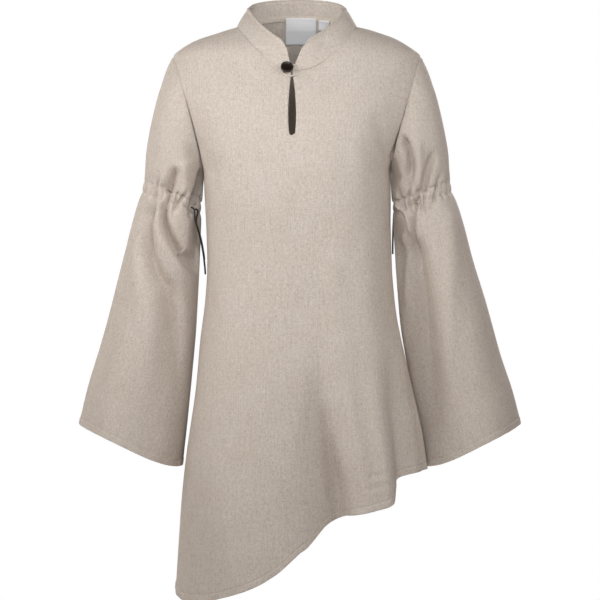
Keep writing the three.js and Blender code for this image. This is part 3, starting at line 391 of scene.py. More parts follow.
def bell(distance, width):
    return np.exp(-((distance / width) ** 2))


def lerp(a, b, t):
    return a + (b - a) * t


def smooth_route(places, count):
    """Points along a smooth curve through places."""
    places = np.array(places, float)
    key = np.linspace(0, 1, len(places))
    at = np.linspace(0, 1, count)
    return np.stack([read({"key": key, "value": places[:, axis]}, "key", "value", at)
                     for axis in range(places.shape[1])], axis=-1)


def crease_height(x, z, crease):
    """Height of a soft trough or ridge that passes the given places and dies away at its ends."""
    width, depth, spreading, places = crease
    route = smooth_route(places, 20)
    nearest = np.full(x.shape, np.inf)
    along = np.zeros(x.shape)
    beyond = np.zeros(x.shape)
    for i in range(len(route) - 1):
        start, step = route[i], route[i + 1] - route[i]
        t = np.clip(((x - start[0]) * step[0] + (z - start[1]) * step[1]) / (step @ step), 0, 1)
        away_x = x - start[0] - t * step[0]
        away = np.hypot(away_x, z - start[1] - t * step[1])
        closer = away < nearest
        nearest = np.where(closer, away, nearest)
        along = np.where(closer, (i + t) / (len(route) - 1), along)
        beyond = np.where(closer, away_x, beyond)
    if isinstance(width, tuple):
        width = lerp(width[0], width[1], fade(beyond, -0.6, 0.6))
    length = np.hypot(*np.diff(route, axis=0).T).sum()
    ends = fade(along, 0, np.clip(CREASE_START / length, 0.16, 0.45)) * fade(1 - along, 0, 0.30)
    return depth * ends * bell(nearest, width * (1 + spreading * along))


def hem_fold(x, z, fold):
    """Height of a fold that starts on a level, and gets wider and deeper down to another."""
    widths, depth, start, full, places = fold
    places = np.array(places, float)
    grown = fade(z, start, full)
    beside = x - np.interp(-z, -places[:, 1], places[:, 0])
    width = np.where(beside < 0, widths[0], widths[1]) * lerp(0.4, 1, grown)
    return depth * grown * bell(beside, width)


def waviness(a, b, size):
    """Slow unevenness that any hung cloth has; a and b run across and down it."""
    return size * (
        0.42 * np.sin(a / 31 + b / 74 + 0.6) + 0.30 * np.sin(a / 19 - b / 52 + 2.1)
        + 0.22 * np.sin(b / 23 + a / 90 + 4.0) + 0.14 * np.sin(a / 9.5 + b / 33 + 1.2)
    )


# ---- cloth as a grid -----------------------------------------------------------------------


def quads_of(lines, rows, wrap=False, flip=False):
    """Corner indices of a grid's quads, one line of points after another."""
    count = lines if wrap else lines - 1
    line, row = np.meshgrid(np.arange(count), np.arange(rows - 1), indexing="ij")
    a = line * rows + row
    b = ((line + 1) % lines) * rows + row
    quads = np.stack([a, b, b + 1, a + 1], axis=-1).reshape(-1, 4)
    return quads[:, ::-1] if flip else quads


def normals_of(points, quads):
    p = points[quads]
    face = np.cross(p[:, 2] - p[:, 0], p[:, 3] - p[:, 1])
    total = np.zeros_like(points)
    for corner in range(4):
        np.add.at(total, quads[:, corner], face)
    length = np.linalg.norm(total, axis=1, keepdims=True)
    return total / np.where(length == 0, 1, length)


def run_lengths(grid, axis):
    """Distance along the grid from its first line or row to each point."""
    step = np.linalg.norm(np.diff(grid, axis=axis), axis=2)
    zero = np.zeros_like(np.take(step, [0], axis=axis))
    return np.concatenate([zero, np.cumsum(step, axis=axis)], axis=axis)


def make_mesh(name, points, faces, uv=None, material=None):
    """A mesh object from points in millimetres, with its faces' corner coordinates in metres."""
    mesh = bpy.data.meshes.new(name)
    mesh.from_pydata((np.asarray(points) * MM).tolist(), [], [list(map(int, f)) for f in faces])
    if uv is not None:
        layer = mesh.uv_layers.new(name="cloth")
        layer.data.foreach_set("uv", (np.asarray(uv) * MM).astype(np.float32).ravel())
    mesh.polygons.foreach_set("use_smooth", np.ones(len(mesh.polygons), bool))
    mesh.update()
    obj = bpy.data.objects.new(name, mesh)
    bpy.context.scene.collection.objects.link(obj)
    if material is not None:
        mesh.materials.append(material)
    return obj


def cloth_shell(name, points, quads, corner_uv, thickness, material):
    """Thin closed shell: the outer side, the inner side, and a rounded rim at every free edge."""
    count = len(points)
    normals = normals_of(points, quads)
    thickness = np.broadcast_to(thickness, (count,))[:, None]
    inner = points - normals * thickness
    starts = quads.ravel()
    ends = np.roll(quads, -1, axis=1).ravel()
    known = set(zip(starts.tolist(), ends.tolist()))
    free = np.array([(b, a) not in known for a, b in zip(starts.tolist(), ends.tolist())])
    edge_a, edge_b = starts[free], ends[free]
    edge_uv_a = corner_uv.reshape(-1, 2)[free]
    edge_uv_b = np.roll(corner_uv, -1, axis=1).reshape(-1, 2)[free]
    outward = np.zeros_like(points)
    direction = points[edge_b] - points[edge_a]
    for ends_of_edge in (edge_a, edge_b):
        np.add.at(outward, ends_of_edge, np.cross(direction, normals[ends_of_edge]))
    length = np.linalg.norm(outward, axis=1, keepdims=True)
    outward = outward / np.where(length == 0, 1, length)

    rim_vertices = np.unique(np.concatenate([edge_a, edge_b]))
    place = np.full(count, -1)
    place[rim_vertices] = np.arange(len(rim_vertices))
    middle = (points - normals * thickness / 2)[rim_vertices]
    radius = thickness[rim_vertices] / 2
    layers = [points]
    rings = [np.arange(count)]
    total = count
    for step in range(1, RIM_STEPS + 1):
        angle = math.pi * step / (RIM_STEPS + 1)
        layers.append(middle + radius * (normals[rim_vertices] * math.cos(angle)
                                         + outward[rim_vertices] * math.sin(angle)))
        rings.append(np.where(place < 0, -1, total + place))
        total += len(rim_vertices)
    layers.append(inner)
    rings.append(total + np.arange(count))
    all_quads = [quads, rings[-1][quads[:, ::-1]]]
    all_uv = [corner_uv, corner_uv[:, ::-1]]
    for near, far in zip(rings[:-1], rings[1:]):
        all_quads.append(np.stack([near[edge_b], near[edge_a], far[edge_a], far[edge_b]], axis=1))
        all_uv.append(np.stack([edge_uv_b, edge_uv_a, edge_uv_a, edge_uv_b], axis=1))
    return make_mesh(name, np.concatenate(layers), np.concatenate(all_quads),
                     np.concatenate(all_uv).reshape(-1, 2), material)


def grid_uv(across, down, quads, rows, lines):
    """Corner coordinates of a grid's quads; a wrapped grid's last line has its own across."""
    line, row = quads // rows, quads % rows
    last = (line[:, :1] == lines - 1) | (line[:, 1:2] == lines - 1) | (line[:, 3:4] == lines - 1)
    wrapped = last & (line == 0)
    line = np.where(wrapped, lines, line) if across.shape[0] > lines else line
    return np.stack([across[line, row], down[line, row]], axis=-1)


def sample(grid, line, row):
    """Points of a grid at fractional lines and rows."""
    line = np.clip(line, 0, grid.shape[0] - 1.001)
    row = np.clip(row, 0, grid.shape[1] - 1.001)
    i, j = line.astype(int), row.astype(int)
    u, v = (line - i)[:, None], (row - j)[:, None]
    return ((grid[i, j] * (1 - u) + grid[i + 1, j] * u) * (1 - v)
            + (grid[i, j + 1] * (1 - u) + grid[i + 1, j + 1] * u) * v)


# ---- the body ------------------------------------------------------------------------------


def armhole(turn):
    """Armhole seam from 0 at the underarm to 180 at the shoulder tip: distances out, forward, up."""
    rise = (1 - np.cos(np.radians(turn))) / 2
    return (lerp(UNDERARM_X, SHOULDER_TIP_X, rise**ARMHOLE_HOLLOW),
            ARMHOLE_HALF_DEPTH * np.sin(np.radians(turn)),
            lerp(BUST_Z, SHOULDER_TIP_Z, rise))


def body_depth(side, z):
    return read(BODY, "z", "front" if side == FRONT else "back", z)


def body_half_width(side, z):
    """Half width of a section. Beside the armhole it is the width whose curve meets the seam."""
    rise = np.clip((z - BUST_Z) / (SHOULDER_TIP_Z - BUST_Z), 0, 1)
    seam_x, seam_y, _ = armhole(np.degrees(np.arccos(1 - 2 * rise)))
    forward = np.clip(seam_y / body_depth(side, z), 0, 0.98)
    beside = seam_x / (1 - forward**SECTION_POWER) ** (1 / SECTION_POWER)
    plain = read(BODY, "z", "half_width", z)
    return np.where((z > BUST_Z) & (z < SHOULDER_TIP_Z), beside, plain)


def skirt_fold(side, angle, z):
    height = np.zeros(np.broadcast(angle, z).shape)
    for at, spread, depth, start, full in SKIRT_FOLDS[side]:
        height += depth * bell(angle - at, spread) * fade(z, start, full)
    return height


def body_round(side, angle, z):
    """Points of the body at angles round its level sections."""
    sine, cosine = np.sin(np.radians(angle)), np.abs(np.cos(np.radians(angle)))
    bend = 2 / SECTION_POWER
    half_width, depth = body_half_width(side, z), body_depth(side, z)
    lean = read(BODY, "z", "lean", z)
    x = lean + half_width * np.sign(sine) * np.abs(sine) ** bend
    y = side * depth * cosine**bend
    out_x, out_y = sine / half_width, side * cosine / depth
    length = np.hypot(out_x, out_y)
    lift = skirt_fold(side, angle, z) * fade(90 - np.abs(angle), 0, 12)
    return np.stack([x + lift * out_x / length, y + lift * out_y / length, z + 0 * x], axis=-1)


def body_angle(side, x, z):
    share = np.clip(np.abs(x) / body_half_width(side, z), 0, 1)
    return np.sign(x) * np.degrees(np.arcsin(share ** (SECTION_POWER / 2)))


def body_at(side, x, z):
    """Points of the upper body at places seen from the front."""
    return body_round(side, body_angle(side, x, z), z)


def girth(side, angle, z):
    """Distance round a level section from the centre to an angle."""
    steps = 24
    total = np.zeros(np.broadcast(angle, z).shape)
    before = body_round(side, 0 * angle, z)
    for step in range(1, steps + 1):
        after = body_round(side, angle * step / steps, z)
        total += np.linalg.norm(after - before, axis=-1)
        before = after
    return total * np.sign(angle)


def neck_edge(side, hand, turn):
    """Neck seam; turn is 0 at the shoulder seam and 90 at the centre."""
    centre = OPENING_X + hand * OPENING_HALF_WIDTH if side == FRONT else 0.0
    x = lerp(centre, hand * NECK_HALF_WIDTH, np.cos(np.radians(turn)))
    deep = FRONT_NECK_Z if side == FRONT else BACK_NECK_Z
    return x, deep * (1 - (x / NECK_HALF_WIDTH) ** 2)


def top_edge(side, hand, share):
    """Top edge of a panel's half, from the shoulder tip (0) along shoulder and neck (1)."""
    on_shoulder = share <= SHOULDER_SHARE
    shoulder_z = SHOULDER_TIP_Z * (1 - np.clip(share / SHOULDER_SHARE, 0, 1)) ** 1.3
    shoulder_x = hand * read(BODY, "z", "half_width", shoulder_z)
    turn = 90 * np.clip((share - SHOULDER_SHARE) / (1 - SHOULDER_SHARE), 0, 1)
    neck_x, neck_z = neck_edge(side, hand, turn)
    return np.where(on_shoulder, shoulder_x, neck_x), np.where(on_shoulder, shoulder_z, neck_z)


def half_shares(spacing=4.0, half_girth=225.0):
    """Shares across a panel's half, close together at its outer edge and at the centre."""
    count = int(half_girth * SHOULDER_SHARE / spacing)
    shoulder = np.linspace(0, SHOULDER_SHARE, count + 1)
    shoulder = shoulder[shoulder * half_girth > EDGE_STEPS[-1] + spacing / 2]
    count = int(half_girth * (1 - SHOULDER_SHARE) / spacing)
    middle = np.linspace(SHOULDER_SHARE, 1, count + 1)[1:]
    middle = middle[(1 - middle) * half_girth > EDGE_STEPS[-1] + spacing / 2]
    edge = EDGE_STEPS / half_girth
    return np.concatenate([edge, shoulder, middle, 1 - edge[::-1]])


def panel_grid(side):
    """Base points of the front or back: lines from the wearer's right to left, rows down."""
    half = half_shares()
    right = np.stack([np.full(half.shape, RIGHT), half])
    left = np.stack([np.full(half.shape, LEFT), half])[:, ::-1]
    lines = np.concatenate([right, left if side == FRONT else left[:, 1:]], axis=1)
    hand, share = lines[0][:, None], lines[1][:, None]
    centre = -np.degrees(np.arcsin((-OPENING_X / UNDERARM_X) ** (SECTION_POWER / 2)))
    angle = hand * 90 + (((centre if side == FRONT else 0) - hand * 90) * share)

    drop = np.array([0, 0.004, 0.010, 0.018, 0.028, 0.042])
    upper = 1 - np.concatenate([drop, np.linspace(0.06, 1, 54)])
    slit_foot = ((SLIT_BOTTOM_Z - BUST_Z) / (FRONT_NECK_Z - BUST_Z)) ** (1 / 1.05)
    upper = np.sort(np.append(upper[np.abs(upper - slit_foot) > 0.006], slit_foot))[::-1][:-1]
    row = upper[None, :]
    rise = row**1.05
    seam_x, _, seam_z = armhole(180 * row)
    pull = (1 - share) ** 1.5
    bust = body_round(side, angle, BUST_Z + 0 * angle)
    top_x, top_z = top_edge(side, hand, share)
    x = lerp(bust[..., 0], top_x, rise)
    x = x + pull * hand * (seam_x - lerp(UNDERARM_X, SHOULDER_TIP_X, rise))
    z = lerp(BUST_Z, top_z, rise) + pull * (seam_z - lerp(BUST_Z, SHOULDER_TIP_Z, rise))
    if side == FRONT:
        opened = np.where(z > SLIT_BOTTOM_Z, read(SLIT, "z", "half_width", z), 0)
        near = bell((1 - share) * 11, 1.8)
        x = x + hand * near * (opened - OPENING_HALF_WIDTH * rise * (share > SHOULDER_SHARE))
    upper_points = body_at(side, x, z)
    edge = share[:, 0] == 0
    seam = np.stack(np.broadcast_arrays(hand * seam_x, side * armhole(180 * row)[1], seam_z), axis=-1)
    upper_points[edge] = seam[edge]

    hem_z = read(HEM[side], "angle", "z", angle)
    slope = np.gradient(hem_z[:, 0], girth(side, angle, hem_z)[:, 0] + 1e-6 * np.arange(len(angle)))
    slant = np.sqrt(1 + np.clip(slope, -2, 2) ** 2)[:, None]
    above = np.array([14, 12.2, 11.2, 10.6, 10.0, 9.4, 8.6, 7, 5, 3.2, 1.6, 0.6, 0])[None, :] * slant
    down = np.linspace(0, 1, 150)[None, :]
    skirt_z = np.concatenate([lerp(BUST_Z, hem_z + above[:, :1], down), hem_z + above[:, 1:]], axis=1)
    skirt_points = body_round(side, angle + 0 * skirt_z, skirt_z)
    grid = np.concatenate([upper_points, skirt_points], axis=1)
    angles = np.concatenate([body_angle(side, x, z), angle + 0 * skirt_z], axis=1)
    return grid, angles, upper_points.shape[1], len(half)


def panel_coordinates(side, grid, angles, bust_row):
    """Places on the flat cloth: across from the centre front or back, and down the cloth."""
    across = girth(side, angles, grid[..., 2])
    step = np.diff(grid, axis=1)
    sideways = np.diff(across, axis=1)
    down_step = np.sqrt(np.clip((step**2).sum(axis=2) - sideways**2, 1e-6, None))
    down = np.concatenate([np.zeros((len(grid), 1)), np.cumsum(down_step, axis=1)], axis=1)
    return across, down - down[:, bust_row:bust_row + 1]


def seam_groove(distance, depth=0.6, width=2.0):
    """Cloth dips in where it is sewn to its neighbour."""
    return -depth * bell(distance, width)


def thin_at_seam(thickness, distance):
    """A piece's wall gets thin right at a seam, where it goes under the stitches."""
    return lerp(SEAM_CLOTH, thickness, fade(distance, 0, 2.5))


def hem_relief(distance, along, strength=1.0):
    """The turned hem stands out a little, is held in at its stitches and puckers along them."""
    welt = 0.55 * fade(distance, HEM_WIDTH + 1.0, HEM_WIDTH - 1.5)
    stitched = -0.75 * bell(distance - HEM_WIDTH + 0.6, 1.1)
    pucker = 0.6 * np.sin(along / 2.1 + 1.6 * np.sin(along / 17)) * bell(distance - HEM_WIDTH, 4)
    roping = 0.9 * np.sin((along + distance * 0.9) / 4.3 + 1.3 * np.sin(along / 29))
    roping = roping * fade(distance, HEM_WIDTH + 14, 4)
    return welt + stitched + strength * (0.6 * pucker + 0.55 * roping)


def flattened(side, grid):
    """The front with its level sections flattened from the chest down, and its side turned away."""
    if side == BACK:
        return grid
    x, z = grid[..., 0], grid[..., 2]
    lean, half_width = read(BODY, "z", "lean", z), body_half_width(side, z)
    share = np.clip(np.abs(x - lean) / half_width, 0, 1)
    plain = (1 - share**SECTION_POWER) ** (1 / SECTION_POWER)
    flat = FLAT_SHARE * (1 - share**FLAT_POWER) ** (1 / FLAT_POWER)
    grid = grid.copy()
    grid[..., 1] += side * body_depth(side, z) * (flat - plain) * fade(z, -100, -230)
    beyond = np.clip(x - SIDE_TURN_X - SIDE_TURN_SLANT * (SIDE_TURN_Z - z), -30, 60)
    back = SIDE_TURN * SIDE_TURN_SOFT * np.log1p(np.exp(beyond / SIDE_TURN_SOFT))
    share = back * fade(z, -130, -230) / np.maximum(np.abs(grid[..., 1]), 40)
    grid[..., 1] *= 1 - np.minimum(share, 0.6)
    return grid


def make_panel(side):
    """Front or back with its folds, as a grid and the facts that the stitches and shell need."""
    base, angles, bust_row, half = panel_grid(side)
    lines, rows = base.shape[:2]
    across, down = panel_coordinates(side, base, angles, bust_row)
    base = flattened(side, base)
    quads = quads_of(lines, rows, flip=side == FRONT)
    points = base.reshape(-1, 3)
    weld = np.arange(len(points))
    if side == FRONT:
        slit_lines = quads.min(axis=1) // rows == half - 1
        quads = quads[~slit_lines]
        right_edge = (half - 1) * rows + np.arange(rows)
        closed = base[half - 1, :, 2] < SLIT_BOTTOM_Z + 0.01
        weld[right_edge[closed] + rows] = right_edge[closed]
        quads = weld[quads]
    normals = normals_of(points, quads)
    normals = normals[weld].reshape(base.shape)

    x, z = base[..., 0], base[..., 2]
    run_down = run_lengths(base, 1)
    from_top, from_hem = run_down, run_down[:, -1:] - run_down
    half_run = run_lengths(base, 0)
    from_right, from_left = half_run, half_run[-1:] - half_run
    from_side = np.minimum(from_right, from_left)
    from_slit = np.abs(half_run - half_run[half - 1:half])
    if side == FRONT:
        from_slit = np.where(z > SLIT_BOTTOM_Z, from_slit, np.hypot(from_slit, z - SLIT_BOTTOM_Z))

    height = waviness(across + 400 * side, down, 1.5) * fade(from_side, 0, 30)
    for crease in BODY_CREASES[side]:
        height += crease_height(x, z, crease)
    forward = np.zeros(x.shape)
    for fold in HEM_FOLDS[side]:
        forward += hem_fold(x, z, fold) * fade(from_side, 0, 45)
    if side == FRONT:

        rolled = 0.9 * bell(from_slit - 2.2, 2.0) - 0.5 * bell(from_slit - 6.5, 2.0)
        facing = 0.35 * bell(from_slit - 18, 1.6)
        height += (rolled + facing) * (z > SLIT_BOTTOM_Z - 20) * (z < FRONT_NECK_Z + 1)
    hem = hem_relief(from_hem, across)
    height += hem * fade(from_hem, 60, 30)
    keep_edge = fade(from_side, 0, 3)
    height = height * keep_edge + seam_groove(from_side, 0.5, 1.6) + seam_groove(from_top, 0.5, 3.6)
    grid = base + normals * height[..., None]
    grid[..., 1] += side * forward
    grid[0], grid[-1] = hold_edge(grid[0], base[0]), hold_edge(grid[-1], base[-1])
    thickness = np.where(from_hem < HEM_WIDTH, TURNED_CLOTH, CLOTH)
    if side == FRONT:
        thickness = np.where((from_slit < 8) & (z > SLIT_BOTTOM_Z - 8), TURNED_CLOTH, thickness)
    thickness = thin_at_seam(thickness, np.minimum(from_side, from_top))
    return {"grid": grid, "quads": quads, "across": across, "down": down, "weld": weld,
            "thickness": thickness, "from_hem": from_hem, "half": half, "from_slit": from_slit}


def hold_edge(moved, base):
    """Keeps a side edge in its seam: in line with it, sunk by the groove alone."""
    return np.stack([moved[:, 0], lerp(moved[:, 1], base[:, 1], 0.5), moved[:, 2]], axis=1)


def panel_piece(name, panel, material):
    lines, rows = panel["grid"].shape[:2]
    uv = grid_uv(panel["across"], panel["down"], panel["quads"], rows, lines)
    points = panel["grid"].reshape(-1, 3)
    used = np.unique(panel["quads"])
    renumber = np.full(len(points), -1)
    renumber[used] = np.arange(len(used))
    return cloth_shell(name, points[used], renumber[panel["quads"]], uv,
                       panel["thickness"].ravel()[used], material)


# ---- sleeves -------------------------------------------------------------------------------


def section_table(rows):
    """A sleeve's sections keyed by the height of their middle."""
    values = np.array(rows, float)
    table = dict(zip(SLEEVE_NAMES.split(), values.T))
    table["down"] = -(table["outer_z"] + table["inner_z"]) / 2
    return table


def sleeve_round(table, hand, down, turn):
    """Points of a sleeve; turn runs from the inner side over the front, outer side and back."""
    get = {name: read(table, "down", name, down) for name in SLEEVE_NAMES.split()}
    swing = 1 if hand == LEFT else 0
    outer_x = get["outer_x"] + swing * get["swing_outer"]
    inner_x = get["inner_x"] + swing * get["swing_inner"]
    cosine, sine = np.cos(np.radians(turn)), np.sin(np.radians(turn))
    half_x, half_z = (outer_x - inner_x) / 2, (get["outer_z"] - get["inner_z"]) / 2
    half_width = np.hypot(half_x, half_z)
    clear = fade(np.minimum(turn, 360 - turn), 0, 40)
    lift = np.zeros(np.broadcast(turn, down).shape)
    for at, spread, depth in SLEEVE_FOLDS:
        lift += depth * bell(turn - at, spread)
    lift = lift * fade(-down, FOLD_START_Z, FOLD_FULL_Z) * clear
    stretch = -cosine * (1 + lift / half_width)
    x = (outer_x + inner_x) / 2 + half_x * stretch
    y = get["y"] - sine * (get["depth"] + lift)
    z = -down + half_z * stretch - get["sag"] * bell(turn - SAG_TURN, SAG_SPREAD)
    return np.stack(np.broadcast_arrays(hand * x, y, z), axis=-1)


def tuck_height(hand, turn, away, upwards, radius=52.0):
    """Tucks of the gathers at a distance from the middle of the casing, and the lobes between."""
    height = np.zeros(np.broadcast(turn, away).shape)
    down_by = -away if upwards else away
    for at, depth, width, up, down, lean in TUCKS[hand]:
        reach = up if upwards else down
        towards_outer = lean * down_by * np.where(at < 180, 1, -1)
        around = np.radians((turn - at + 180) % 360 - 180) * radius - towards_outer
        past = np.maximum(away - CASING_HALF, 0)
        wide = width * (1 + past / 14)
        shape = bell(around, wide) - 0.16 * bell(around, 3.2 * wide)
        height -= 1.1 * depth * shape * np.exp(-((past / reach) ** 1.5))
    return height


def seam_clear(turn):
    """1 round most of a sleeve, less at its inner side, where the body is close."""
    return 0.25 + 0.75 * fade(np.minimum(turn, 360 - turn), 0, 34)


def fullness(hand, turn):
    """How far the gathers puff out beside a casing, unevenly, and least at the outer side."""
    uneven = 1 + 0.40 * np.sin(turn / 17 + hand) + 0.28 * np.sin(turn / 7.3 + 2 * hand)
    return seam_clear(turn) * uneven * (1 - 0.75 * bell(turn - 180, 35))


def gather_depth(turn):
    """How strong the tucks are: less at the inner side and at the outer side."""
    return seam_clear(turn) * (1 - 0.55 * bell(turn - 180, 30))


def sleeve_turns():
    return (360 * np.arange(SLEEVE_LINES) / SLEEVE_LINES)[:, None]


def face_creases(hand, grid, turn):
    """Creases of a sleeve's front and back, each fading out before it reaches the other face."""
    x, z = grid[..., 0], grid[..., 2]
    height = np.zeros(x.shape)
    for face in (FRONT, BACK):
        facing = fade(-face * np.sin(np.radians(turn)), 0.05, 0.45)
        for crease in SLEEVE_CREASES[(hand, face)]:
            height += SLEEVE_CREASE_DEPTH * crease_height(x, z, crease) * facing
    return height


def turned_in(hand, grid):
    """A sleeve whose front turns in towards the body inside the lines of INNER_TURNS."""
    grid = grid.copy()
    x, z = grid[..., 0], grid[..., 2]
    middle = lerp(0, 20, fade(z, -280, -700))
    for strength, softness, places in INNER_TURNS[hand]:
        places = np.array(places, float)
        line = np.interp(-z, -places[:, 1], places[:, 0])
        inside = hand * (line - x)
        top, bottom = places[0, 1], places[-1, 1]
        length = top - bottom
        along = fade(z, top, top - 0.2 * length) * fade(z, bottom, bottom + 0.25 * length)
        turned = strength * along * fade(inside, -2, softness) * (grid[..., 1] < middle)
        grid[..., 1] = lerp(grid[..., 1], middle, turned)
    return grid


def sleeve_piece(name, base, height, flip, thickness, material, down):
    """Shell of a tube of cloth. Returns the piece and its displaced grid."""
    lines, rows = base.shape[:2]
    quads = quads_of(lines, rows, wrap=True, flip=flip)
    normals = normals_of(base.reshape(-1, 3), quads).reshape(base.shape)
    grid = base + normals * height[..., None]
    closed = np.concatenate([grid, grid[:1]])
    across = run_lengths(closed, 0)
    across = across - across[lines // 2]
    down = np.concatenate([down, down[:1]])
    uv = grid_uv(across, down, quads, rows, lines)
    piece = cloth_shell(name, grid.reshape(-1, 3), quads, uv,
                        np.broadcast_to(thickness, base.shape[:2]).ravel(), material)
    return piece, closed


def upper_sleeve(hand, name, material):
    table = section_table(UPPER_SLEEVE)
    turn = sleeve_turns()
    length = table["down"][-1] - table["down"][0]
    near_seam = np.array([0, 0.5, 1.2, 2.2, 3.4, 5.0])
    step = np.concatenate([near_seam, np.linspace(7, length - 22, 30),
                           np.linspace(length - 20, length + LAP, 18)])
    down = table["down"][0] + np.minimum(step, length)[None, :]
    base = sleeve_round(table, hand, down, turn)
    face = np.where(turn <= 180, FRONT, BACK)
    seam_x, seam_y, seam_z = armhole(np.minimum(turn, 360 - turn))
    seam = np.stack([hand * seam_x, face * seam_y, seam_z], axis=-1)
    base = base + (seam - base[:, :1]) * (1 - fade(step, 0, 30))[None, :, None]
    base[..., 2] -= np.maximum(step - length, 0)
    base = turned_in(hand, base)
    from_top = run_lengths(base, 1)
    away = from_top[:, -1:] - from_top - LAP
    height = tuck_height(hand, turn, away + CASING_HALF, True) * gather_depth(turn)
    height += 3.4 * fullness(hand, turn) * np.exp(-np.abs(away) / 24) * (1 - np.exp(-np.abs(away) / 7))
    height += face_creases(hand, base, turn) * fade(from_top, 0, 14)
    height += waviness(turn * 0.9 + 60 * hand, away, 1.1) * fade(from_top, 0, 22) * seam_clear(turn)
    ease = 0.35 * np.sin(turn * 0.62 + 0.5 * np.sin(turn / 13))
    ease = ease * fade(turn, 60, 110) * fade(-turn, -300, -250)
    height += ease * bell(from_top - 3, 5)
    height += 0.7 * bell(from_top - 4.5, 3.0) + seam_groove(from_top, 0.7, 1.6)
    height -= LAP_STEP * fade(-away, -2.5, LAP)
    return sleeve_piece(name, base, height, hand == LEFT, thin_at_seam(CLOTH, from_top), material, -away)


def casing(hand, name, material):
    table = section_table(CASING)
    turn = sleeve_turns()
    share = np.linspace(0, 1, 21)[None, :]
    down = lerp(table["down"][0], table["down"][-1], share)
    base = sleeve_round(table, hand, down, turn)
    wide = 2 * CASING_HALF
    edge = np.minimum(share, 1 - share) * wide
    above = tuck_height(hand, turn, np.maximum(0.5 - share, 0) * wide, True)
    below = tuck_height(hand, turn, np.maximum(share - 0.5, 0) * wide, False)
    base = turned_in(hand, base)
    height = np.where(share < 0.5, above, below) * gather_depth(turn)
    height += face_creases(hand, base, turn)
    height += 0.4 * np.sin(np.pi * share) - 0.15 * bell(edge - 2.8, 1.2)
    crumple = 0.6 * np.sin(turn * 1.05 + 2.2 * np.sin(turn / 11) + 3 * share) * np.sin(np.pi * share)
    height += crumple * seam_clear(turn)
    return sleeve_piece(name, base, height, hand == LEFT, thin_at_seam(CLOTH, edge), material,
                        share * wide + 0 * turn)


def lower_sleeve(hand, name, material):
    table = section_table(LOWER_SLEEVE)
    turn = sleeve_turns()
    top, bottom = table["down"][0], table["down"][-1]
    length = bottom - top
    near_hem = np.array([14, 12.2, 11.2, 10.4, 9.4, 8.6, 7, 5, 3.2, 1.6, 0.6, 0])
    step = np.concatenate([np.linspace(-LAP, 22, 20), 22 + (length - 38) * np.linspace(0, 1, 92)[1:] ** 1.15,
                           length - near_hem])
    down = top + np.maximum(step, 0)[None, :]
    base = sleeve_round(table, hand, down, turn)
    base[..., 2] -= np.minimum(step, 0)
    base = turned_in(hand, base)
    from_top = run_lengths(base, 1) - LAP
    from_hem = from_top[:, -1:] - from_top
    around = run_lengths(base, 0)
    height = tuck_height(hand, turn, from_top + CASING_HALF, False) * gather_depth(turn)
    away = np.abs(from_top)
    height += 3.4 * fullness(-hand, turn) * np.exp(-away / 34) * (1 - np.exp(-away / 7))
    height += face_creases(hand, base, turn) * fade(from_hem, 0, 40)
    height += waviness(turn * 1.1 - 80 * hand, from_top, 1.5) * fade(from_top, 0, 40) * seam_clear(turn)
    height += hem_relief(from_hem, around, 0.7)
    height -= LAP_STEP * fade(-from_top, -2.5, LAP)
    thickness = np.where(from_hem < HEM_WIDTH, TURNED_CLOTH, CLOTH)
    piece, grid = sleeve_piece(name, base, height, hand == LEFT, thickness, material, from_top + 17)
    return piece, grid


# ---- collar and labels ---------------------------------------------------------------------


def collar_grid():
    """Collar from the opening's right edge round the back to its left edge, rows from the seam up."""
    quarter = 46
    lines = []
    for side, hand, turns in ((FRONT, RIGHT, (90, 0)), (BACK, RIGHT, (0, 90)),
                              (BACK, LEFT, (90, 0)), (FRONT, LEFT, (0, 90))):
        turn = np.linspace(*turns, quarter + 1)
        keep = slice(0, None) if (side, hand) == (FRONT, LEFT) else slice(0, -1)
        lines += [(side, hand, value) for value in turn[keep]]
    edge = np.array([0, 0.4, 0.9, 1.6, 2.6])
    share = np.concatenate([edge / 45, np.linspace(0.09, 0.91, 17), 1 - edge[::-1] / 45])
    grid = []
    for side, hand, turn in lines:
        seam_x, seam_z = neck_edge(side, hand, np.array([turn]))
        foot = body_at(side, seam_x, seam_z)[0]
        if turn == 0:
            foot = np.array([hand * NECK_HALF_WIDTH, 0.0, 0.0])
        top = np.array([float(read(COLLAR_TOP[side], "turn", axis, turn)) for axis in "xyz"])
        top[0] *= hand
        if side == FRONT:
            top[0] += COLLAR_OPENING_SHIFT * math.sin(math.radians(turn)) ** 2
        grid.append(foot + (top - foot) * share[:, None])
    grid = np.array(grid)
    from_right, from_left = run_lengths(grid, 0), run_lengths(grid[::-1], 0)[::-1]
    from_opening = np.minimum(from_right, from_left)[:, -1:]
    short = np.clip(1 - from_opening / COLLAR_CORNER, 0, 1)
    corner_drop = COLLAR_CORNER * (1 - np.sqrt(1 - short**2))
    tall = np.linalg.norm(grid[:, -1] - grid[:, 0], axis=1)[:, None]
    kept = share * (1 - corner_drop / tall)
    return grid[:, :1] + (grid[:, -1:] - grid[:, :1]) * kept[..., None]


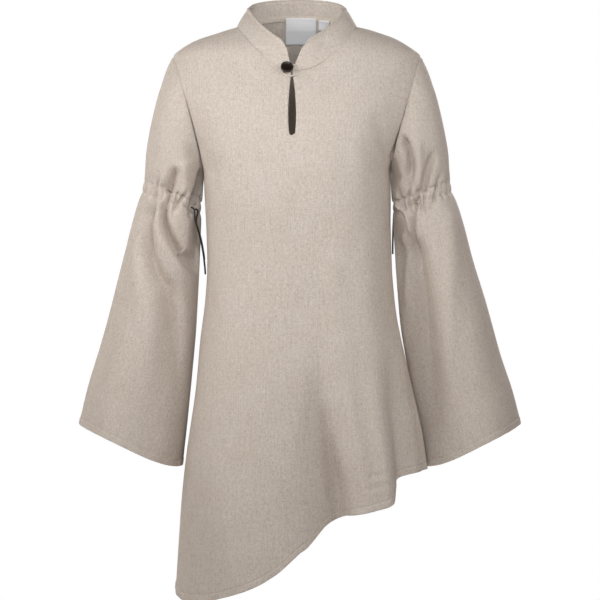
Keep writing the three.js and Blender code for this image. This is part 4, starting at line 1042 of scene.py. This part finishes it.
def make_collar(name, material):
    base = collar_grid()
    lines, rows = base.shape[:2]
    quads = quads_of(lines, rows, flip=False)
    normals = normals_of(base.reshape(-1, 3), quads).reshape(base.shape)
    outwards = (normals[..., :2] * base[..., :2]).sum() > 0
    if not outwards:
        quads = quads[:, ::-1]
        normals = -normals
    up = run_lengths(base, 1)
    from_top = up[:, -1:] - up
    from_front = np.minimum(run_lengths(base, 0), run_lengths(base[::-1], 0)[::-1])
    from_edge = np.minimum(from_top, from_front)
    x, z = base[..., 0], base[..., 2]
    height = 0.9 * bell(from_edge - 1.8, 1.7) - 0.5 * bell(from_edge - 5.2, 2.2)
    height += seam_groove(up, 0.5, 3.6) + 0.8 * np.sin(np.pi * np.clip(up / (up + from_top), 0, 1))
    height += waviness(run_lengths(base, 0) * 1.4, up * 2, 0.6)
    for side, creases in COLLAR_CREASES.items():
        for crease in creases:
            height += crease_height(x, z, crease) * (side * base[..., 1] > 0)
    grid = base + normals * height[..., None]
    across = run_lengths(base, 0)
    across = across - across[lines // 2]
    uv = grid_uv(across * 0.8 + up * 0.6, up * 0.8 - across * 0.6, quads, rows, lines)
    thickness = thin_at_seam(COLLAR_CLOTH, up).ravel()
    piece = cloth_shell(name, grid.reshape(-1, 3), quads, uv, thickness, material)
    return piece


def neck_tape(name, material):
    """Binding over the neck seam inside the back, from one shoulder seam to the other."""
    width, stand_off, cloth = 9.0, 3.1, 0.5
    x = np.linspace(-NECK_HALF_WIDTH + 12, NECK_HALF_WIDTH - 12, 90)
    seam_z = BACK_NECK_Z * (1 - (x / NECK_HALF_WIDTH) ** 2)
    foot = body_at(BACK, x, seam_z)
    turn = np.degrees(np.arccos(np.clip(np.abs(x) / NECK_HALF_WIDTH, 0, 1)))
    top = np.stack([np.sign(x) * read(COLLAR_TOP[BACK], "turn", "x", turn),
                    read(COLLAR_TOP[BACK], "turn", "y", turn),
                    read(COLLAR_TOP[BACK], "turn", "z", turn)], axis=-1)
    rise = (top - foot) / np.linalg.norm(top - foot, axis=1, keepdims=True)
    inward = -foot * np.array([1, 1, 0])
    inward = inward / np.linalg.norm(inward, axis=1, keepdims=True)
    share = np.array([0, 0.05, 0.15, 0.3, 0.5, 0.7, 0.85, 0.95, 1])
    start, height = -1.0, width
    grid = (foot[:, None] + rise[:, None] * (start + share * height)[None, :, None]
            + inward[:, None] * (stand_off + 0.5 * np.sin(np.pi * share))[None, :, None])
    lines, rows = grid.shape[:2]
    quads = quads_of(lines, rows)
    normals = normals_of(grid.reshape(-1, 3), quads)
    if (normals * grid.reshape(-1, 3))[:, :2].sum() > 0:
        quads = quads[:, ::-1]
    uv = grid_uv(run_lengths(grid, 0), run_lengths(grid, 1), quads, rows, lines)
    return cloth_shell(name, grid.reshape(-1, 3), quads, uv, cloth, material)


def label_piece(name, patch, material):
    """Bare woven patch inside the back of the neck, with a slight bow and small ripples."""
    lines, rows = 42, 36
    x = np.linspace(patch["left"], patch["right"], lines)[:, None]
    share = np.linspace(0, 1, rows)[None, :]
    seam_z = BACK_NECK_Z * (1 - (x / NECK_HALF_WIDTH) ** 2)
    z = seam_z + lerp(patch["top"], patch["bottom"], share)
    at = body_at(BACK, x + 0 * z, np.minimum(z, seam_z))
    clearance = 1.6 + patch["stand_off"] + 1.0
    y = at[..., 1] - clearance - 0.5 * np.maximum(z - seam_z, 0)
    tall = patch["top"] - patch["bottom"]
    wide = patch["right"] - patch["left"]
    edge_x = np.minimum(x - patch["left"], patch["right"] - x)
    edge_z = np.minimum(share, 1 - share) * tall
    y = y - 0.35 * bell(edge_z - 2, 1.6) - 0.5 * np.sin(np.pi * (x - patch["left"]) / wide) * share
    y = y - 0.3 * np.sin(x / 6.5 + 0.8) * share * fade(edge_x, 0, 6)
    grid = np.stack(np.broadcast_arrays(x, y, z), axis=-1)
    quads = quads_of(lines, rows, flip=True)
    if normals_of(grid.reshape(-1, 3), quads)[:, 1].sum() > 0:
        quads = quads[:, ::-1]
    uv = grid_uv(x + 0 * z, z + 0 * x, quads, rows, lines)
    thickness = np.broadcast_to(LABEL_CLOTH, (lines, rows)).ravel()
    return cloth_shell(name, grid.reshape(-1, 3), quads, uv, thickness, material)


# ---- stitches ------------------------------------------------------------------------------


def stitch_meshes(name, places, ahead, out, material):
    """Stitches as short threads that dip into the cloth at both ends, joined in one mesh."""
    sides = 5
    rings = [(-0.5, 0.05, -0.55), (-0.36, 0.9, 0.15), (0.0, 1.0, 0.3), (0.36, 0.9, 0.15), (0.5, 0.05, -0.55)]
    across = np.cross(out, ahead)
    angles = 2 * np.pi * np.arange(sides) / sides
    points, faces = [], []
    block = []
    for along, thick, lift in rings:
        centre = places + ahead * (along * STITCH_LENGTH) + out * (lift * THREAD_RADIUS)
        for angle in angles:
            block.append(centre + THREAD_RADIUS * thick * (across * math.cos(angle) + out * math.sin(angle)))
    points = np.stack(block, axis=1).reshape(-1, 3)
    size = len(block)
    pattern = [[r * sides + s, r * sides + (s + 1) % sides,
                (r + 1) * sides + (s + 1) % sides, (r + 1) * sides + s]
               for r in range(len(rings) - 1) for s in range(sides)]
    pattern.append([s for s in range(sides)][::-1])
    pattern.append([(len(rings) - 1) * sides + s for s in range(sides)])
    for i in range(len(places)):
        faces += [[v + i * size for v in face] for face in pattern]
    piece = make_mesh(name, points, faces, None, material)
    made = bmesh.new()
    made.from_mesh(piece.data)
    bmesh.ops.recalc_face_normals(made, faces=made.faces)
    made.to_mesh(piece.data)
    made.free()
    return piece


def row_of_stitches(grid, line, row, flip):
    """Even stitches along a path of fractional lines and rows on a grid."""
    path = sample(grid, line, row)
    out = np.cross(sample(grid, line + 0.5, row) - sample(grid, line - 0.5, row),
                   sample(grid, line, row + 0.5) - sample(grid, line, row - 0.5))
    out = out * (-1 if flip else 1)
    out = out / np.linalg.norm(out, axis=1, keepdims=True)
    run = np.concatenate([[0], np.cumsum(np.linalg.norm(np.diff(path, axis=0), axis=1))])
    at = np.arange(STITCH_PITCH, run[-1] - STITCH_PITCH, STITCH_PITCH)

    def along(values):
        return np.stack([np.interp(at, run, values[:, axis]) for axis in range(3)], axis=-1)

    places, outs = along(path), along(out)
    ahead = np.gradient(places, axis=0)
    ahead = ahead / np.linalg.norm(ahead, axis=1, keepdims=True)
    outs = outs - ahead * (outs * ahead).sum(axis=1, keepdims=True)
    outs = outs / np.linalg.norm(outs, axis=1, keepdims=True)
    return places, ahead, outs


def rows_at_distance(distance, wanted):
    """Fractional row of each line where a distance that shrinks down the line reaches a value."""
    return np.array([np.interp(-wanted, -line, np.arange(len(line))) for line in distance])


# ---- materials -----------------------------------------------------------------------------


def linear(colour):
    """Linear RGBA of an sRGB hex colour."""
    def channel(value):
        value = value / 255
        return value / 12.92 if value <= 0.04045 else ((value + 0.055) / 1.055) ** 2.4
    return tuple(channel(int(colour[i:i + 2], 16)) for i in (1, 3, 5)) + (1.0,)


def new_material(name):
    material = bpy.data.materials.new(name)
    material.use_nodes = True
    tree = material.node_tree
    tree.nodes.clear()
    return material, tree


def add(tree, kind, inputs=None, **settings):
    """Adds a node. inputs maps a socket's name or number to a value or to another node's output."""
    node = tree.nodes.new(kind)
    for key, value in settings.items():
        setattr(node, key, value)
    for key, value in (inputs or {}).items():
        socket = node.inputs[key]
        if isinstance(value, bpy.types.NodeSocket):
            tree.links.new(value, socket)
        else:
            socket.default_value = value
    return node


def streaks(tree, place, across_mm, along_mm, vertical, seed, detail=3.0):
    """Noise drawn out along the thread: across_mm and along_mm are the size of one streak."""
    scale = (1000 / across_mm, 1000 / along_mm, 1)
    if not vertical:
        scale = (1000 / along_mm, 1000 / across_mm, 1)
    mapped = add(tree, "ShaderNodeMapping", {
        "Vector": place, "Scale": scale, "Location": (seed, seed * 0.7, seed * 1.3),
    }).outputs[0]
    noise = add(tree, "ShaderNodeTexNoise", {
        "Vector": mapped, "Scale": 1.0, "Detail": detail, "Roughness": 0.6,
    }, noise_dimensions="3D")
    return noise.outputs["Fac"]


def ramp(tree, value, stops):
    node = add(tree, "ShaderNodeValToRGB", {"Fac": value})
    elements = node.color_ramp.elements
    while len(elements) < len(stops):
        elements.new(0.5)
    for element, (position, colour) in zip(elements, stops):
        element.position = position
        element.color = colour if len(colour) == 4 else (*colour, 1)
    return node.outputs["Color"]


def grey(value):
    return (value, value, value, 1.0)


def mix(tree, kind, factor, first, second):
    node = tree.nodes.new("ShaderNodeMix")
    node.data_type = "RGBA"
    node.blend_type = kind
    for number, value in ((0, factor), (6, first), (7, second)):
        if isinstance(value, bpy.types.NodeSocket):
            tree.links.new(value, node.inputs[number])
        else:
            node.inputs[number].default_value = value
    return node.outputs[2]


def linen(name, light, shade, fleck, bump=0.5):
    """Plain-woven slub linen: two natural greys in warp and weft, thick places in the thread."""
    material, tree = new_material(name)
    place = add(tree, "ShaderNodeUVMap", uv_map="cloth").outputs[0]
    # Threads are 0.6 mm apart; they are drawn about 1.3 mm wide so that the weave still shows.
    warp = streaks(tree, place, 1.3, 7.0, True, 3.1, 1.0)
    weft = streaks(tree, place, 1.2, 4.5, False, 11.7, 1.0)
    slub = streaks(tree, place, 1.7, 38, True, 23.0, 1.0)
    woven = add(tree, "ShaderNodeMath", {0: warp, 1: weft}, operation="ADD").outputs[0]
    cross = streaks(tree, place, 1.7, 30, False, 41.0, 1.0)
    slubs = add(tree, "ShaderNodeMath", {0: cross, 1: 0.35, 2: slub}, operation="MULTIPLY_ADD").outputs[0]
    total = add(tree, "ShaderNodeMath", {0: slubs, 1: 0.6, 2: woven}, operation="MULTIPLY_ADD").outputs[0]
    level = add(tree, "ShaderNodeMapRange", {"Value": total, "From Min": 0.88, "From Max": 1.93}).outputs[0]
    tone = ramp(tree, level, [(0.0, shade), (0.5, mixed(shade, light, 0.58)), (1.0, light)])
    patch = add(tree, "ShaderNodeTexNoise", {"Vector": place, "Scale": 16.0, "Detail": 2.0}).outputs["Fac"]
    aged = ramp(tree, patch, [(0.3, (0.97, 0.955, 0.94)), (0.7, (1.0, 1.0, 1.0))])
    tone = mix(tree, "MULTIPLY", 1.0, tone, aged)
    specks = streaks(tree, place, 1.6, 4.0, True, 57.0, 1.0)
    marks = ramp(tree, specks, [(0.72, grey(0.0)), (0.80, grey(1.0))])
    share = add(tree, "ShaderNodeMath", {0: marks, 1: 0.30}, operation="MULTIPLY").outputs[0]
    tone = mix(tree, "MIX", share, tone, fleck)
    bumped = add(tree, "ShaderNodeBump", {"Strength": bump, "Distance": 0.00045, "Height": total})
    shader = add(tree, "ShaderNodeBsdfPrincipled", {
        "Base Color": tone, "Roughness": 0.86, "Normal": bumped.outputs[0],
        "Sheen Weight": 0.22, "Sheen Roughness": 0.55, "Sheen Tint": light,
    })
    shader.inputs["Specular IOR Level"].default_value = 0.25
    add(tree, "ShaderNodeOutputMaterial", {"Surface": shader.outputs[0]})
    return material


def mixed(a, b, t):
    return tuple(lerp(x, y, t) for x, y in zip(a, b))


def ribbon(name, colour):
    """Woven polyester satin ribbon: fine even rib across it, with a soft shine."""
    material, tree = new_material(name)
    place = add(tree, "ShaderNodeUVMap", uv_map="cloth").outputs[0]
    rib = add(tree, "ShaderNodeTexWave", {"Vector": place, "Scale": 210.0, "Distortion": 0.6, "Detail": 1.0},
              bands_direction="Y").outputs["Fac"]
    tone = mix(tree, "MULTIPLY", 1.0, colour, ramp(tree, rib, [(0.0, grey(0.90)), (1.0, grey(1.0))]))
    bumped = add(tree, "ShaderNodeBump", {"Strength": 0.25, "Distance": 0.0002, "Height": rib})
    shader = add(tree, "ShaderNodeBsdfPrincipled", {
        "Base Color": tone, "Roughness": 0.42, "Normal": bumped.outputs[0], "Sheen Weight": 0.3,
    })
    add(tree, "ShaderNodeOutputMaterial", {"Surface": shader.outputs[0]})
    return material


def cord_black(name):
    """Thin braided polyester cord, dyed black: matt, with a fine diagonal braid."""
    material, tree = new_material(name)
    place = add(tree, "ShaderNodeTexCoord").outputs["Object"]
    braid = add(tree, "ShaderNodeTexWave", {
        "Vector": place, "Scale": 260.0, "Distortion": 3.0, "Detail": 2.0,
    }, bands_direction="DIAGONAL").outputs["Fac"]
    tone = ramp(tree, braid, [(0.0, linear("#060505")), (1.0, linear("#1d1916"))])
    bumped = add(tree, "ShaderNodeBump", {"Strength": 0.6, "Distance": 0.0003, "Height": braid})
    shader = add(tree, "ShaderNodeBsdfPrincipled", {
        "Base Color": tone, "Roughness": 0.62, "Normal": bumped.outputs[0], "Sheen Weight": 0.2,
    })
    add(tree, "ShaderNodeOutputMaterial", {"Surface": shader.outputs[0]})
    return material


def polished_wood(name):
    """Turned and lacquered dark hardwood: brown streaks of grain under a satin shine."""
    material, tree = new_material(name)
    place = add(tree, "ShaderNodeTexCoord").outputs["Object"]
    grain = add(tree, "ShaderNodeMapping", {"Vector": place, "Scale": (900, 300, 160)}).outputs[0]
    noise = add(tree, "ShaderNodeTexNoise", {"Vector": grain, "Scale": 1.0, "Detail": 4.0}).outputs["Fac"]
    tone = ramp(tree, noise, [
        (0.35, linear("#0d0705")), (0.55, linear("#1a0e09")), (0.75, linear("#2e1a11")),
    ])
    bumped = add(tree, "ShaderNodeBump", {"Strength": 0.2, "Distance": 0.0002, "Height": noise})
    shader = add(tree, "ShaderNodeBsdfPrincipled", {
        "Base Color": tone, "Roughness": 0.42, "Normal": bumped.outputs[0], "Coat Weight": 0.12,
        "Coat Roughness": 0.2,
    })
    add(tree, "ShaderNodeOutputMaterial", {"Surface": shader.outputs[0]})
    return material


LIGHT_LINEN = linear("#d6cdc5")
SHADE_LINEN = linear("#aa9c90")
FLECK_BROWN = linear("#84705f")

body_linen = linen("slub_linen_plain_woven", LIGHT_LINEN, SHADE_LINEN, FLECK_BROWN)
tape_linen = linen("linen_tape_woven", linear("#d9d0c6"), linear("#b9ab9c"), linear("#9a8470"), 0.3)
thread = linen("linen_thread_spun", linear("#c9bcab"), linear("#a89681"), linear("#8d7862"), 0.2)
satin = ribbon("satin_ribbon_white", linear("#f0f0f2"))
black_cord = cord_black("black_cord_braided")
button_wood = polished_wood("dark_hardwood_turned")


# ---- camera --------------------------------------------------------------------------------


def make_camera():
    data = bpy.data.cameras.new("camera")
    camera = bpy.data.objects.new("camera", data)
    bpy.context.scene.collection.objects.link(camera)
    camera.location = (CAMERA_X * MM, -CAMERA_DISTANCE * MM, CAMERA_Z * MM)
    camera.rotation_euler = (math.pi / 2, 0, 0)
    data.sensor_width = 36.0
    data.lens = data.sensor_width * CAMERA_DISTANCE / VIEW_WIDTH
    bpy.context.scene.camera = camera


make_camera()

# ---- drawstrings ---------------------------------------------------------------------------


def make_cord(name, route):
    """A drawstring's free end: one open curve with a round section."""
    curve = bpy.data.curves.new(name, "CURVE")
    curve.dimensions = "3D"
    curve.resolution_u = 6
    curve.bevel_depth = CORD_DIAMETER / 2 * MM
    curve.bevel_resolution = 3
    curve.use_fill_caps = True
    spline = curve.splines.new("NURBS")
    spline.points.add(len(route) - 1)
    for point, place in zip(spline.points, route):
        point.co = (*(value * MM for value in place), 1.0)
    spline.order_u = 4
    spline.use_endpoint_u = True
    curve.materials.append(black_cord)
    piece = bpy.data.objects.new(name, curve)
    bpy.context.scene.collection.objects.link(piece)
    return piece


for cord_name, cord_route in CORDS.items():
    piece = make_cord(cord_name + "_braid", cord_route)
    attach(piece, "root")
    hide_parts(cord_name)

# ---- cloth pieces --------------------------------------------------------------------------


def finish_cloth(piece, node):
    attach(piece, "root")
    if node:
        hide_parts(node)


def finish_stitches(piece):
    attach(piece, "root")


def hem_stitches(name, grid, from_hem, flip):
    line = np.arange(len(from_hem), dtype=float)
    row = rows_at_distance(from_hem, HEM_WIDTH - STITCH_FROM_FOLD)
    places, ahead, out = row_of_stitches(grid, line, row, flip)
    piece = stitch_meshes(name, places, ahead, out, thread)
    finish_stitches(piece)
    return piece


for side, side_name, flat, area in ((FRONT, "front", (0.56, 0.93), 0.40),
                                    (BACK, "back", (0.54, 0.94), 0.41)):
    panel = make_panel(side)
    cloth = panel_piece(f"body_{side_name}_linen", panel, body_linen)
    stitches = hem_stitches(f"body_{side_name}_hem_stitches", panel["grid"], panel["from_hem"],
                            side == FRONT)
    finish_cloth(cloth, f"body_{side_name}")

collar_cloth = make_collar("collar_linen", body_linen)
finish_cloth(collar_cloth, "collar")
tape = neck_tape("neck_tape", tape_linen)
finish_cloth(tape, None)

for hand, hand_name in ((RIGHT, "right"), (LEFT, "left")):
    upper, _ = upper_sleeve(hand, f"sleeve_upper_{hand_name}_linen", body_linen)
    finish_cloth(upper, f"sleeve_upper_{hand_name}")
    band, _ = casing(hand, f"casing_{hand_name}_linen", body_linen)
    finish_cloth(band, f"casing_{hand_name}")
    lower, lower_grid = lower_sleeve(hand, f"sleeve_lower_{hand_name}_linen", body_linen)
    from_top = run_lengths(lower_grid, 1)
    stitches = hem_stitches(f"sleeve_{hand_name}_hem_stitches", lower_grid,
                            from_top[:, -1:] - from_top, hand == LEFT)
    finish_cloth(lower, f"sleeve_lower_{hand_name}")

for label_name, node, patch, flat in (("neck_label_satin", "neck_label", NECK_LABEL, (0.049, 0.042)),
                                      ("size_tab_satin", "size_tab", SIZE_TAB, (0.016, 0.016))):
    finish_cloth(label_piece(label_name, patch, satin), node)

# ---- button and loop -----------------------------------------------------------------------


def deselect():
    bpy.ops.object.select_all(action="DESELECT")


def make_button():
    """Turned button: a disc with a dished face, a rounded rim and a shank behind."""
    deselect()
    bpy.ops.mesh.primitive_cylinder_add(vertices=64, radius=BUTTON_RADIUS * MM,
                                        depth=BUTTON_THICKNESS * MM, end_fill_type="NGON")
    button = bpy.context.object
    button.name = "button_turned"
    bpy.ops.object.mode_set(mode="EDIT")
    mesh = bmesh.from_edit_mesh(button.data)
    for face in mesh.faces:
        face.select_set(face.normal.z > 0.9)
    bmesh.update_edit_mesh(button.data)
    for inset, sink in ((1.6, 0.0), (0.9, -0.7), (3.0, -0.35), (2.4, -0.1)):
        bpy.ops.mesh.inset(thickness=inset * MM)
        bpy.ops.transform.translate(value=(0, 0, sink * MM))
    bpy.ops.mesh.select_all(action="DESELECT")
    mesh = bmesh.from_edit_mesh(button.data)
    for face in mesh.faces:
        face.select_set(face.normal.z < -0.9)
    bmesh.update_edit_mesh(button.data)
    bpy.ops.mesh.inset(thickness=(BUTTON_RADIUS - SHANK_RADIUS - 0.8) * MM)
    bpy.ops.mesh.inset(thickness=0.8 * MM)
    bpy.ops.mesh.extrude_region_move(TRANSFORM_OT_translate={"value": (0, 0, -SHANK_LENGTH * MM)})
    bpy.ops.object.mode_set(mode="OBJECT")
    rounding = button.modifiers.new("rounding", "BEVEL")
    rounding.width = 1.1 * MM
    rounding.segments = 4
    rounding.limit_method = "ANGLE"
    rounding.angle_limit = math.radians(35)
    bpy.ops.object.modifier_apply(modifier=rounding.name)
    middle = SHANK_LENGTH + BUTTON_THICKNESS / 2
    bpy.ops.object.mode_set(mode="EDIT")
    bpy.ops.mesh.select_all(action="SELECT")
    bpy.ops.transform.translate(value=(0, 0, middle * MM))
    bpy.ops.object.mode_set(mode="OBJECT")
    button.rotation_euler = [math.radians(angle)
                             for angle in (90 - BUTTON_TIP_UP, BUTTON_ROLL, BUTTON_TURN)]
    button.location = [value * MM for value in BUTTON_PLACE]
    bpy.ops.object.transform_apply(location=True, rotation=True, scale=True)
    bpy.ops.object.shade_smooth_by_angle(angle=math.radians(40))
    button.data.materials.clear()
    button.data.materials.append(button_wood)
    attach(button, "root")
    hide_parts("button")


def make_loop():
    """Rouleau loop of the same linen, a thin tube turned right side out."""
    route = []
    for x, z in LOOP_ROUTE:
        cloth = body_at(FRONT, np.array([float(x)]), np.array([min(z, FRONT_NECK_Z)]))[0][1]
        lean = max(0, z - FRONT_NECK_Z) * COLLAR_LEAN
        route.append((x, cloth + lean - LOOP_RADIUS - LOOP_CLEARANCE, z))
    centre = smooth_route(route, 90)
    tangent = np.gradient(centre, axis=0)
    tangent = tangent / np.linalg.norm(tangent, axis=1, keepdims=True)
    side = np.cross(tangent, np.array([0.0, 1.0, 0.0]))
    side = side / np.linalg.norm(side, axis=1, keepdims=True)
    out = np.cross(side, tangent)
    sides = 14
    angle = 2 * np.pi * np.arange(sides) / sides
    ripple = 1 + 0.05 * np.sin(np.arange(90) * 0.9)[:, None]
    grid = (centre[:, None] + LOOP_RADIUS * ripple[..., None]
            * (side[:, None] * np.cos(angle)[None, :, None] + out[:, None] * np.sin(angle)[None, :, None]))
    points = grid.transpose(1, 0, 2).reshape(-1, 3)
    quads = quads_of(sides, 90, wrap=True)
    faces = [list(q) for q in quads] + [[s * 90 for s in range(sides)], [s * 90 + 89 for s in range(sides)]]
    run = np.concatenate([[0], np.cumsum(np.linalg.norm(np.diff(centre, axis=0), axis=1))])
    uv = []
    for face in faces:
        for index in face:
            uv.append((LOOP_RADIUS * angle[index // 90], run[index % 90]))
    loop = make_mesh("button_loop_linen", points, faces, uv, tape_linen)
    made = bmesh.new()
    made.from_mesh(loop.data)
    bmesh.ops.recalc_face_normals(made, faces=made.faces)
    made.to_mesh(loop.data)
    made.free()
    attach(loop, "root")
    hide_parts("button_loop")


make_button()
make_loop()

# ---- floor and light -----------------------------------------------------------------------

def make_stage():
    deselect()
    bpy.ops.mesh.primitive_circle_add(vertices=96, radius=FLOOR_RADIUS * MM, fill_type="NGON",
                                      location=(0, 0, FLOOR_Z * MM))
    floor = bpy.context.object
    floor.name = "floor"
    material, tree = new_material("pale_floor")
    shader = add(tree, "ShaderNodeBsdfPrincipled", {"Base Color": linear("#f2f2f2"), "Roughness": 0.9})
    add(tree, "ShaderNodeOutputMaterial", {"Surface": shader.outputs[0]})
    floor.data.materials.append(material)


def area_light(name, place, aim, size, power, colour=(1.0, 1.0, 1.0)):
    data = bpy.data.lights.new(name, "AREA")
    data.shape = "DISK"
    data.size = size
    data.energy = power
    data.color = colour
    light = bpy.data.objects.new(name, data)
    bpy.context.scene.collection.objects.link(light)
    light.location = place
    light.rotation_euler = (Vector(aim) - Vector(place)).to_track_quat("-Z", "Y").to_euler()


make_stage()
area_light("right_far_softbox", (-2.6, -0.8, 0.2), AIM, 1.4, 11.0, WARM)
area_light("right_near_softbox", (-1.0, -0.8, 0.15), AIM, 0.6, 7.2, WARM)
area_light("left_far_softbox", (2.0, -2.0, 0.4), AIM, 1.4, 7.8, WARM)
area_light("left_softbox", (1.4, -0.9, 0.3), AIM, 0.9, 2.6, WARM)
area_light("left_near_softbox", (1.0, -0.8, 0.15), AIM, 0.6, 1.9, WARM)
area_light("front_softbox", (0.0, -1.1, 0.1), AIM, 0.6, 7.2, COOL)
area_light("low_front_softbox", (-0.2, -1.2, -0.3), AIM, 0.6, 0.9, WARM)
area_light("rear_softbox", (0.9, 1.7, 0.5), AIM, 1.2, 27)
area_light("rear_window", (-1.3, 1.3, 0.3), AIM, 0.9, 15, WARM)

world = bpy.data.worlds.new("studio")
world.use_nodes = True
studio = world.node_tree
studio.nodes.clear()
seen = add(studio, "ShaderNodeLightPath").outputs["Is Camera Ray"]
glow = add(studio, "ShaderNodeBackground", {"Color": linear("#ffd9b5"), "Strength": 0.04})
backdrop = add(studio, "ShaderNodeBackground", {"Color": linear("#ffffff"), "Strength": 1.0})
either = add(studio, "ShaderNodeMixShader", {0: seen, 1: glow.outputs[0], 2: backdrop.outputs[0]})
add(studio, "ShaderNodeOutputWorld", {"Surface": either.outputs[0]})
bpy.context.scene.world = world
bpy.context.scene.view_settings.view_transform = "Standard"
